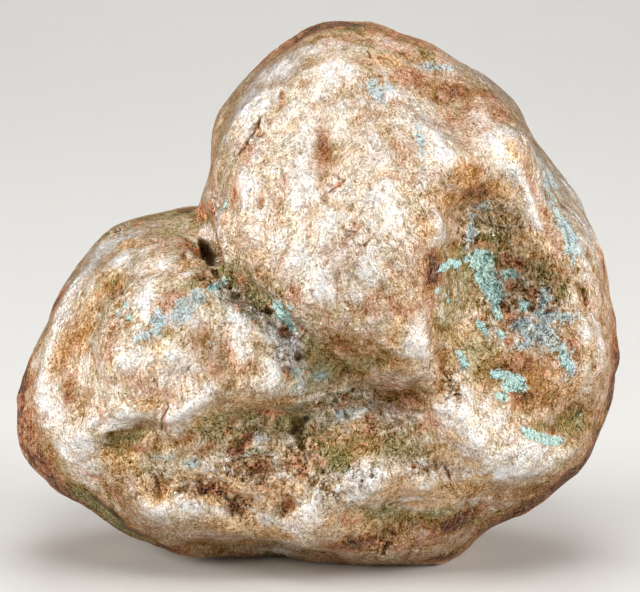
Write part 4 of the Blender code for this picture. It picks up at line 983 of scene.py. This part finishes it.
            (368, 402, 1.8, 1.2, 0, 1.7), (190, 409, 4, 1.4, -40, 1.4), (192, 415, 2.6, 1, -40, 1.9),
            (273, 410, 2, 1, 0, 1.9), (274, 409, 1.8, 1, 0, 1.4), (317, 418, 1.2, 1.2, 0, 1.4),
            (341, 413, 1.4, 0.8, 25, 1.8), (350, 414, 2.4, 1, -25, 1.2), (352, 412, 1.6, 1, 20, 1.9),
            (358, 410, 1.8, 0.9, -10, 1.2), (393, 410, 2.4, 1.2, 0, 1.2), (395, 416, 1.8, 1, 0, 1.3),
            (240, 441, 1, 0.8, 0, 1.2), (256, 437, 1.4, 1, 0, 1.1), (258, 439, 1.3, 0.7, -10, 1.8),
            (284, 440, 1, 1, 0, 1.4), (192, 470, 3.4, 1.6, 0, 0.9), (235, 466, 1.6, 1.2, 0, 2.4),
            (236, 467, 1.2, 1.6, 0, 2), (236, 470, 1.6, 2.4, 0, 0.9), (237, 467, 1, 2, 0, 1.2),
            (249, 478, 1.6, 0.9, 0, 1.9), (278, 462, 0.5, 1, 0, 1.8), (300, 478, 14, 6, 8, 0.45),
            (307, 457, 0.5, 0.9, 0, 1.6), (190, 485, 1.4, 1, 0, 1.4), (193, 484, 1.4, 1, 0, 1.9),
            (247, 496, 2.2, 1.2, 0, 1.9), (247, 482, 2, 1, 10, 1.5), (247, 498, 2, 1, 10, 1.5),
            (360, 495, 2, 1.2, 0, 1.7), (363, 480, 2.4, 2, 0, 1.6), (390, 491, 2.2, 1.6, 0, 1.4),
            # right cheek
            (475, 425, 4.6, 3, 35, 1.1), (461, 451, 1.8, 1.2, 20, 1.4), (530, 455, 5, 3, 0, 1.1),
            (430, 462, 1.4, 1, 0, 1.2), (458, 460, 2, 1.2, 20, 1.5), (472, 464, 2.2, 1.2, 0, 1.4),
            (495, 465, 4, 2, 0, 1.1), (508, 472, 3.2, 1.6, -5, 1.9), (528, 474, 2.2, 1.2, -10, 1.3),
            (545, 462, 2.6, 1.6, 0, 0.7), (557, 458, 2.4, 1.4, -20, 1.2), (412, 492, 2.6, 1.4, 0, 2),
            (416, 499, 2.6, 1.2, 0, 1.6), (425, 486, 2.2, 1.4, 0, 0.8), (438, 497, 1.6, 1, 0, 1.4),
            (475, 480, 2, 1.2, 0, 1.4),
            # lower edge
            (250, 500, 3, 2, 0, 0.9), (414, 500, 3, 1.4, 0, 0.9), (428, 503, 3, 1, 0, 1.6),
            (151, 517, 2.4, 1, 10, 2), (153, 519, 2, 1.2, 20, 1.2), (154, 518, 2.4, 1, 10, 1.8),
            (160, 510, 5, 1.2, 8, 1.1), (192, 511, 2.2, 1, 15, 1.5), (222, 514, 1.6, 0.7, 30, 1.6),
            (228, 519, 2, 0.8, 35, 1.1), (257, 521, 2.4, 1.2, 0, 1.2), (310, 515, 1.6, 1.4, 0, 1.6),
            (311, 510, 2.2, 2.8, 0, 1.1), (345, 516, 3.4, 1.6, 20, 0.7), (347, 521, 2.6, 1.4, 10, 1.4),
            (425, 506, 3, 1.2, 0, 2), (232, 539, 2.2, 1.2, 0, 1.3), (233, 538, 2.4, 1.2, 0, 1.8),
            (250, 531, 3.2, 1.4, 0, 0.9), (272, 542, 4, 1.4, 5, 0.8), (282, 549, 2.4, 1.2, 0, 1.8),
            (284, 541, 3.2, 1.6, 0, 0.9), (285, 543, 2.4, 1.2, 0, 1.6), (298, 529, 2.4, 1.4, 0, 1),
        ],
        "back": [
            (8, 50, 5, 3.2, 20, 1.8), (14, 40, 3.2, 2, -30, 1.7), (-2, 58, 3, 4, 0, 1.6),
            (28, 34, 3, 4.6, -10, 1.9), (24, 22, 4, 2, 10, 1.6), (-30, 30, 4.4, 3, -20, 1.9),
            (-24, 42, 4, 2.2, 20, 1.6), (-4, 20, 4.4, 2, 10, 1.6), (2, 10, 6, 1.8, 0, 1.7),
            (-22, 16, 3.6, 2.4, 30, 1.7), (6, 68, 4, 2.4, 0, 1.7), (22, 54, 2.4, 3.6, -30, 1.6),
            (8, 44, 12, 9, 10, 0.8), (24, 30, 6, 6, 0, 0.8), (-6, 12, 9, 4, 0, 0.8),
            (-30, 34, 6, 6, 0, 0.8),
        ],
        "left": [
            (6, 36, 2.4, 3.6, 0, 1.7), (4, 14, 4, 2.4, 10, 1.6), (12, 22, 3, 3, 0, 1.5),
            (8, 60, 3.4, 4, 0, 1.6), (-8, 20, 5, 6, 0, 0.8),
        ],
        "right": [
            (6, 52, 3, 3.4, 0, 1.6), (6, 24, 4, 3, 0, 1.7), (14, 44, 2.4, 3.4, 0, 1.5),
            (9, 66, 3, 3, 0, 1.5), (-4, 50, 6, 8, 0, 0.7),
        ],
        "top": [
            (14, 7, 4, 3, 0, 1.6), (4, 13, 4, 3, 0, 1.6), (-8, 12, 3, 3, 0, 1.5),
            (10, -8, 9, 5, 0, 0.8),
        ],
        "streaks": [
            (((110, 244), (88, 268), (68, 300), (53, 335), (43, 368), (45, 395)), 1.3, 1.1),
            (((46, 395), (58, 425), (75, 445), (92, 464)), 2.2, 1.1),
        ],
    },
}


def layPatches(mesh):
    points = pointsOf(mesh)
    for name, places in patches.items():
        level = np.zeros(len(points))
        for side, marks in places.items():
            for *mark, strength in marks:
                if side == "streaks":
                    line, reach = mark
                    share = alongLine(points, surface.line("photo", line)[0])[0] / (reach * mm)
                else:
                    share, _ = ovalMark(points, side, *mark)
                level = np.maximum(level, strength * np.exp(-patchFade * share ** 2))
        writeLayer(mesh, name, level)
    nearest, signed, _ = crackLines(points)
    writeLayer(mesh, "crackNear", nearest / mm)
    writeLayer(mesh, "crackSide", signed / mm)
    writeLayer(mesh, "broken", crumbliness(points))
    print("nugget: patches laid")


layPatches(copperNugget.data)
copperNugget.data.shade_smooth()


# Finish

class Wire:
    # one socket, so that shader maths reads as sums
    def __init__(self, bench, socket):
        self.bench, self.socket = bench, socket

    def maths(self, operation, *others):
        return self.bench.node("ShaderNodeMath", {"operation": operation}, dict(enumerate((self, *others))))

    def __add__(self, other):
        return self.maths("ADD", other)

    def __sub__(self, other):
        return self.maths("SUBTRACT", other)

    def __mul__(self, other):
        return self.maths("MULTIPLY", other)

    def __neg__(self):
        return self.maths("MULTIPLY", -1.0)

    def __rsub__(self, other):
        return -self + other

    def unsigned(self):
        return self.maths("ABSOLUTE")

    def atLeast(self, other):
        return self.maths("MAXIMUM", other)

    def clear(self):
        # held between 0 and 1
        return self.bench.node("ShaderNodeClamp", {}, {0: self})

    def step(self, low, high):
        # 0 below low, 1 above high, and a smooth rise between; the other way round where low is higher
        return self.bench.node("ShaderNodeMapRange", {"interpolation_type": "SMOOTHSTEP"}, {
            "Value": self, "From Min": low, "From Max": high})


class Bench:
    # the node tree of one finish
    def __init__(self, name):
        self.material = bpy.data.materials.new(name)
        self.material.use_nodes = True
        self.tree = self.material.node_tree
        self.tree.nodes.clear()

    def node(self, kind, settings=None, inputs=None, out=0):
        made = self.tree.nodes.new(kind)
        for name, value in (settings or {}).items():
            setattr(made, name, value)
        for key, value in (inputs or {}).items():
            if isinstance(value, Wire):
                self.tree.links.new(value.socket, made.inputs[key])
            else:
                made.inputs[key].default_value = value
        return Wire(self, made.outputs[out]) if made.outputs else None

    def layer(self, name):
        return self.node("ShaderNodeAttribute", {"attribute_name": name}, out="Fac")

    def lumpTexture(self, where, size, detail, rough=0.5, out="Fac"):
        # noise with lumps of that many millimetres; where is in millimetres
        return self.node("ShaderNodeTexNoise", {}, {
            "Vector": where, "Scale": 1 / size, "Detail": detail, "Roughness": rough}, out=out)

    def cellTexture(self, where, scale, feature="F1", out="Color"):
        # broken cells, that many to a millimetre
        return self.node("ShaderNodeTexVoronoi", {"feature": feature}, {
            "Vector": where, "Scale": scale}, out=out)

    def ramp(self, value, stops):
        made = self.node("ShaderNodeValToRGB", {}, {0: value})
        elements = made.socket.node.color_ramp.elements
        while len(elements) < len(stops):
            elements.new(0.5)
        for element, (position, shown) in zip(elements, stops):
            element.position, element.color = position, shown
        return made

    def mix(self, first, second, share):
        return self.node("ShaderNodeMix", {"data_type": "RGBA"}, {
            "Factor": share, 6: first, 7: second}, out=2)

    def vector(self, operation, first, second):
        return self.node("ShaderNodeVectorMath", {"operation": operation}, {0: first, 1: second})

    def scaled(self, vector, size):
        return self.node("ShaderNodeVectorMath", {"operation": "SCALE"}, {0: vector, "Scale": size})


def colour(red, green, blue):
    # a screen colour of 0 to 255, as the shader wants it
    linear = [((c / 255 + 0.055) / 1.055) ** 2.4 if c > 10 else c / 255 / 12.92 for c in (red, green, blue)]
    return (*linear, 1)


finish = {
    "cream": colour(249, 247, 242),
    "sand": colour(222, 211, 191),
    "tan": colour(189, 170, 136),
    "bronze": colour(148, 118, 68),
    "earth": colour(94, 77, 43),
    "shell": colour(249, 240, 235),
    "pink": colour(224, 208, 198),
    "copper": colour(199, 164, 140),
    "brown": colour(170, 118, 84),
    "umber": colour(108, 73, 53),
    "black": colour(34, 34, 24),
    "olive": colour(150, 142, 90),
    "moss": colour(92, 104, 66),
    "ochre": colour(176, 132, 82),
    "paleOchre": colour(222, 188, 144),
    "turquoise": colour(112, 154, 148),
    "paleTurquoise": colour(186, 220, 214),
    "blueFilm": colour(176, 204, 210),
    "filmShade": colour(116, 140, 144),
    "rust": colour(142, 88, 56),
    "orange": colour(208, 148, 108),
    "edgeTint": (0.76, 0.68, 0.61, 1),
    "coolTint": (0.97, 1.01, 1.07, 1),
    "warmTint": (1.05, 0.975, 0.90, 1),
    "darkest": (0.01, 0.008, 0.005),
    # the ramp runs from painted shade and oxide in the lowest ground to wear and painted highlight at the top
    "rampPlaces": (0.0, 0.22, 0.46, 0.72, 1.0),  # from the lowest ground to the most rubbed
    "hairTurns": ((0.5, 0.1, 0.3), (1.4, -0.3, 2.2), (-0.7, 0.4, 1.3), (0.2, 1.2, -0.8)),
}


class WornCopper(Bench):
    # the metal, rubbed and brown, with painted highlight where it stands proud and painted shade where it
    # lies sunk, under stains, film, crust, dirt and painted shade; each grain lies around 0
    def __init__(self):
        super().__init__("worn_copper")
        self.here = self.scaled(self.node("ShaderNodeTexCoord", out="Object"), 1000.0)  # millimetres
        sway = self.vector("SUBTRACT", self.lumpTexture(self.here, 2.2, 1.0, out="Color"), (0.5, 0.5, 0.5))
        self.swirled = self.vector("ADD", self.here, self.scaled(sway, 2.0))

        self.lumps = self.layer("lumpRelief")
        self.grains = self.layer("grainRelief")
        self.broken = self.layer("broken")
        self.olive = self.layer("olive")
        self.cloud = self.grain(5.5, 3.0, 0.6)
        self.speck = self.grain(0.25, 2.0, 0.6)
        self.blotch = self.grain(1.5, 3.0, 0.65, shift=(40.0, 3.0, 9.0))
        self.warmth = self.grain(2.6, 4.0, 0.6, shift=(21.0, 7.0, 52.0))
        self.tint = self.grain(2.2, 3.0, 0.5, shift=(9.0, 70.0, 2.0))
        self.quilt = self.grain(2.4, 3.0, 0.5, shift=(5.0, 60.0, 31.0))
        self.flake = self.cellTexture(self.swirled, 3.0) - 0.5
        self.shards = (self.cellTexture(self.swirled, 1.1) - 0.5) * self.broken

        hairs = [self.hairlines(turn) for turn in finish["hairTurns"]]
        self.light = hairs[0].atLeast(hairs[1])
        self.dark = hairs[2].atLeast(hairs[3])
        self.fine = self.speck * 1.1 + self.flake * 0.26 + self.light * 0.16 - self.dark * 0.20
        self.edge = self.blotch * 1.6 + self.fine * 0.7
        # brown oxide, and painted shade along the rims and the lower edge
        self.brownedAndShaded = (self.layer("brown") * (self.blotch * 2.6 + 1.0)).atLeast(0)

    def grain(self, size, detail, rough=0.5, shift=None):
        # lumps of that many millimetres, around 0; the shift makes one grain unlike another
        where = self.vector("ADD", self.here, shift) if shift else self.here
        return self.lumpTexture(where, size, detail, rough) - 0.5

    def hairlines(self, turn):
        # thin contours of drawn-out grain
        laid = self.node("ShaderNodeMapping", {}, {
            "Vector": self.swirled, "Rotation": turn, "Scale": (1.0, 1.0, 0.45)})
        return (self.lumpTexture(laid, 1.0, 2.0, 0.6) - 0.5).unsigned().step(0.065, 0.01)

    def shades(self, *names):
        return self.ramp(self.wearAndPaintedLight, [(at, finish[name]) for at, name in zip(finish["rampPlaces"], names)])

    def blend(self, first, second, share):
        return self.mix(finish[first], finish[second], share)

    def bareMetal(self):
        # from brown in the low ground to cream where it is rubbed, in two tones. Proud relief comes out
        # lighter and sunk relief darker: wear and oxide, and also painted highlight and painted shade; the
        # patches of painted light add more
        wearAndPaintedLight = self.lumps * 0.7 + self.grains * 1.4 + self.layer("formRelief") * 0.10
        wearAndPaintedLight = wearAndPaintedLight + self.cloud * 0.7 + self.blotch * 0.6
        wearAndPaintedLight = wearAndPaintedLight + self.layer("bareAndPaintedLight") * 0.36 - self.brownedAndShaded * 0.36
        wearAndPaintedLight = wearAndPaintedLight + self.fine * 0.2 + self.shards * 1.8 + self.broken * 0.6 + 0.5
        self.wearAndPaintedLight = wearAndPaintedLight.clear()
        yellow = self.shades("earth", "bronze", "tan", "sand", "cream")
        red = self.shades("umber", "brown", "copper", "pink", "shell")
        redness = self.tint * (self.broken * 4.0 + self.brownedAndShaded * 1.2 + 1.6)
        redness = redness + self.cloud * 1.4 + self.brownedAndShaded * 0.35 - self.olive * 0.6
        return self.mix(yellow, red, (redness + 0.45).clear())

    def addOchre(self, skin):
        stained = self.layer("ochre") + self.blotch * 1.2 + self.shards * 1.4 - self.lumps * 0.3
        ochre = self.blend("ochre", "paleOchre", (self.wearAndPaintedLight + self.fine * 0.5).step(0.2, 0.8))
        return self.mix(skin, ochre, stained.step(0.35, 0.8) * 0.85)

    def addMoss(self, skin):
        # green-brown skin in the sheltered ground
        mossy = self.olive * 0.8 + self.blotch * 1.4 + self.tint - self.lumps * 0.6 - self.grains * 0.8
        self.mossy = (mossy + self.shards * 2.4).step(0.32, 0.95)
        green = self.blend("olive", "moss", (-self.fine).step(-0.2, 0.3))
        return self.mix(skin, green, self.mossy * (self.broken * 0.4 + 0.66).clear())

    def addPatchwork(self, skin):
        # orange and tan where the skin has flaked
        flaked = (self.olive.clear() * 0.6 + self.broken * 1.5).step(0.45, 0.9) * self.quilt.step(0.03, 0.07)
        under = self.blend("sand", "orange", (self.warmth + self.fine * 0.3).step(-0.2, 0.1))
        return self.mix(skin, under, flaked * 0.62)

    def addFilm(self, skin):
        # thin blue-grey film
        self.film = (self.layer("blueFilm") + self.edge * 1.5).step(0.5, 1.0)
        blue = self.blend("filmShade", "blueFilm", (self.fine + self.blotch * 0.5).step(-0.28, 0.04))
        return self.mix(skin, blue, self.film * 0.72)

    def addRust(self, skin):
        # red oxide in the pits
        self.rusty = (self.layer("rust") + self.edge * 1.1 + self.shards * 1.6).step(0.68, 1.0)
        mottle = self.flake + self.speck * 1.2
        red = self.blend("rust", "orange", (mottle + self.light * 0.1).step(-0.08, 0.12))
        black = mottle.step(-0.14, -0.26) * self.broken.step(0.03, 0.25)
        red = self.mix(red, finish["black"], black * 0.85)
        return self.mix(skin, red, self.rusty * 0.85)

    def addCrust(self, skin):
        # turquoise crust
        crust = self.layer("turquoise")
        self.crust = (crust + self.edge * 0.8).step(0.55, 0.8)
        pale = (self.blotch + self.fine * 0.6 + crust * 0.1).step(-0.18, 0.16)
        return self.mix(skin, self.blend("turquoise", "paleTurquoise", pale), self.crust * 0.92)

    def addMarks(self, skin):
        # warmer and cooler places, and fine marks that are lighter or darker than the skin round them
        warmth = (self.warmth * 3.2 + self.shards * 4.0 + 0.5).clear()
        skin = self.vector("MULTIPLY", skin, self.blend("coolTint", "warmTint", warmth))
        coarse = self.flake * 1.5 + self.speck * 0.6 + self.light * 0.8 - self.dark * 1.2
        marks = self.fine * 1.6 + coarse * self.broken
        skin = self.scaled(skin, (marks * 0.6 + 1.0).atLeast(0.1))
        skin = self.vector("ADD", skin, marks * 0.16)
        return self.vector("MAXIMUM", skin, finish["darkest"])

    def addDirtAndShade(self, skin):
        # dirt in the cracks, crevices and pin holes, and painted shade in the sunk gaps and hollows and under
        # the shade patches
        line = self.layer("crackSide").unsigned() - self.grain(0.8, 1.0) * 0.3
        crack = line.step(0.15, 0.07) * self.layer("crackNear").step(0.6, 0.35)
        # painted shade with dirt: darker where the skin lies sunk, in the gaps between crumbs and in hollows
        deep = (-self.grains).step(0.18, 0.32).atLeast((-self.lumps).step(0.6, 1.15))
        pins = self.grain(0.5, 1.0).step(0.16, 0.24) * self.broken.step(0.05, 0.3)
        crackle = self.cellTexture(self.swirled, 0.75, feature="DISTANCE_TO_EDGE", out="Distance")
        crackle = crackle.step(0.055, 0.02) * (self.broken + self.blotch * 0.6).step(0.16, 0.26) * 0.5
        # painted shade where the shade patches lie: holes, crevices and rims
        shade = (self.layer("shade") + self.fine * 0.5 + self.blotch * 0.6).step(0.5, 0.95)
        self.dirtAndPaintedShade = crack.atLeast(deep).atLeast(pins).atLeast(crackle).atLeast(shade)
        sootAndPaintedShade = self.blend("umber", "black", deep.atLeast(shade))
        return self.mix(skin, sootAndPaintedShade, self.dirtAndPaintedShade * 0.85)

    def roughSkin(self):
        # fine relief for the light: hairlines, specks, blotches, crust and broken grain
        height = self.light * 0.026 - self.dark * 0.026 + self.speck * 0.16 + self.flake * 0.03
        height = height + self.blotch * 0.55 + self.crust * 0.05
        height = height + self.grain(0.7, 3.0, 0.7) * self.broken * 2.2 - self.dirtAndPaintedShade * 0.12
        return self.node("ShaderNodeBump", {}, {
            "Height": height, "Strength": 1.0, "Distance": mm}, out="Normal")

    def make(self):
        skin = self.bareMetal()
        for add in (self.addOchre, self.addMoss, self.addPatchwork, self.addFilm, self.addRust, self.addCrust,
                    self.addMarks, self.addDirtAndShade):
            skin = add(skin)
        # crust, oxide, moss, film, dirt, painted shade and brown ground are less metallic and rougher
        earthyAndShaded = self.crust.atLeast(self.rusty * 0.9).atLeast(self.mossy * 0.5).atLeast(self.film * 0.5)
        earthyAndShaded = earthyAndShaded.atLeast(self.dirtAndPaintedShade).atLeast((self.brownedAndShaded * 0.6).clear())
        shader = self.node("ShaderNodeBsdfPrincipled", {}, {
            "Base Color": skin,
            "Specular IOR Level": 0.3,
            "Specular Tint": finish["edgeTint"],
            "Metallic": (0.92 - earthyAndShaded * 0.8).clear(),
            "Roughness": (0.40 - (self.wearAndPaintedLight - 0.5) * 0.10 + earthyAndShaded * 0.30).clear(),
            "Normal": self.roughSkin(),
        })
        self.node("ShaderNodeOutputMaterial", {}, {"Surface": shader})
        return self.material


copperNugget.data.materials.clear()
copperNugget.data.materials.append(WornCopper().make())
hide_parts("copper_nugget")
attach(copperNugget, "root")
print("nugget: finished")


# Stage: pale floor and soft lights

stage = {
    "floorSize": 12.0,
    "floorColour": colour(214, 212, 208),
    "world": 0.13,
    "lights": [  # name, place, size, watts, what it points at, how wide its beam is in degrees
        ("left soft light", (-0.62, -0.18, 0.26), 0.36, 4.1, shot["target"], 180),
        ("right soft light", (0.62, -0.16, 0.28), 0.36, 3.9, shot["target"], 180),
        ("top soft light", (0.0, -0.20, 0.64), 0.34, 1.7, shot["target"], 180),
        ("upper back soft light", (0.0, 0.30, 0.56), 0.36, 1.4, shot["target"], 180),
        ("front soft light", (0.0, -0.80, 0.20), 0.30, 0.6, shot["target"], 180),
        ("backdrop light", (0.0, 0.85, 1.7), 0.5, 1.3, Vector((0.0, 0.85, 0.0)), 42),
    ],
}


def makeFloor():
    bm = bmesh.new()
    bmesh.ops.create_grid(bm, x_segments=1, y_segments=1, size=stage["floorSize"] / 2)
    mesh = bpy.data.meshes.new("floor")
    bm.to_mesh(mesh)
    bm.free()
    floor = bpy.data.objects.new("floor", mesh)
    bpy.context.scene.collection.objects.link(floor)
    bench = Bench("pale_floor")
    shader = bench.node("ShaderNodeBsdfPrincipled", {}, {
        "Base Color": stage["floorColour"], "Roughness": 0.8})
    bench.node("ShaderNodeOutputMaterial", {}, {"Surface": shader})
    mesh.materials.append(bench.material)


def makeLights():
    for name, place, size, watts, aim, beam in stage["lights"]:
        light = bpy.data.lights.new(name, "AREA")
        light.size = size
        light.energy = watts
        light.spread = math.radians(beam)
        holder = bpy.data.objects.new(name, light)
        bpy.context.scene.collection.objects.link(holder)
        holder.location = place
        holder.rotation_mode = "QUATERNION"
        holder.rotation_quaternion = (aim - Vector(place)).to_track_quat("-Z", "Y")
    world = bpy.data.worlds.new("room")
    world.use_nodes = True
    world.node_tree.nodes["Background"].inputs["Color"].default_value = (*[stage["world"]] * 3, 1)
    bpy.context.scene.world = world
    bpy.context.scene.view_settings.view_transform = "Standard"


makeFloor()
makeLights()
makeCamera()
print("stage: floor, lights and camera")
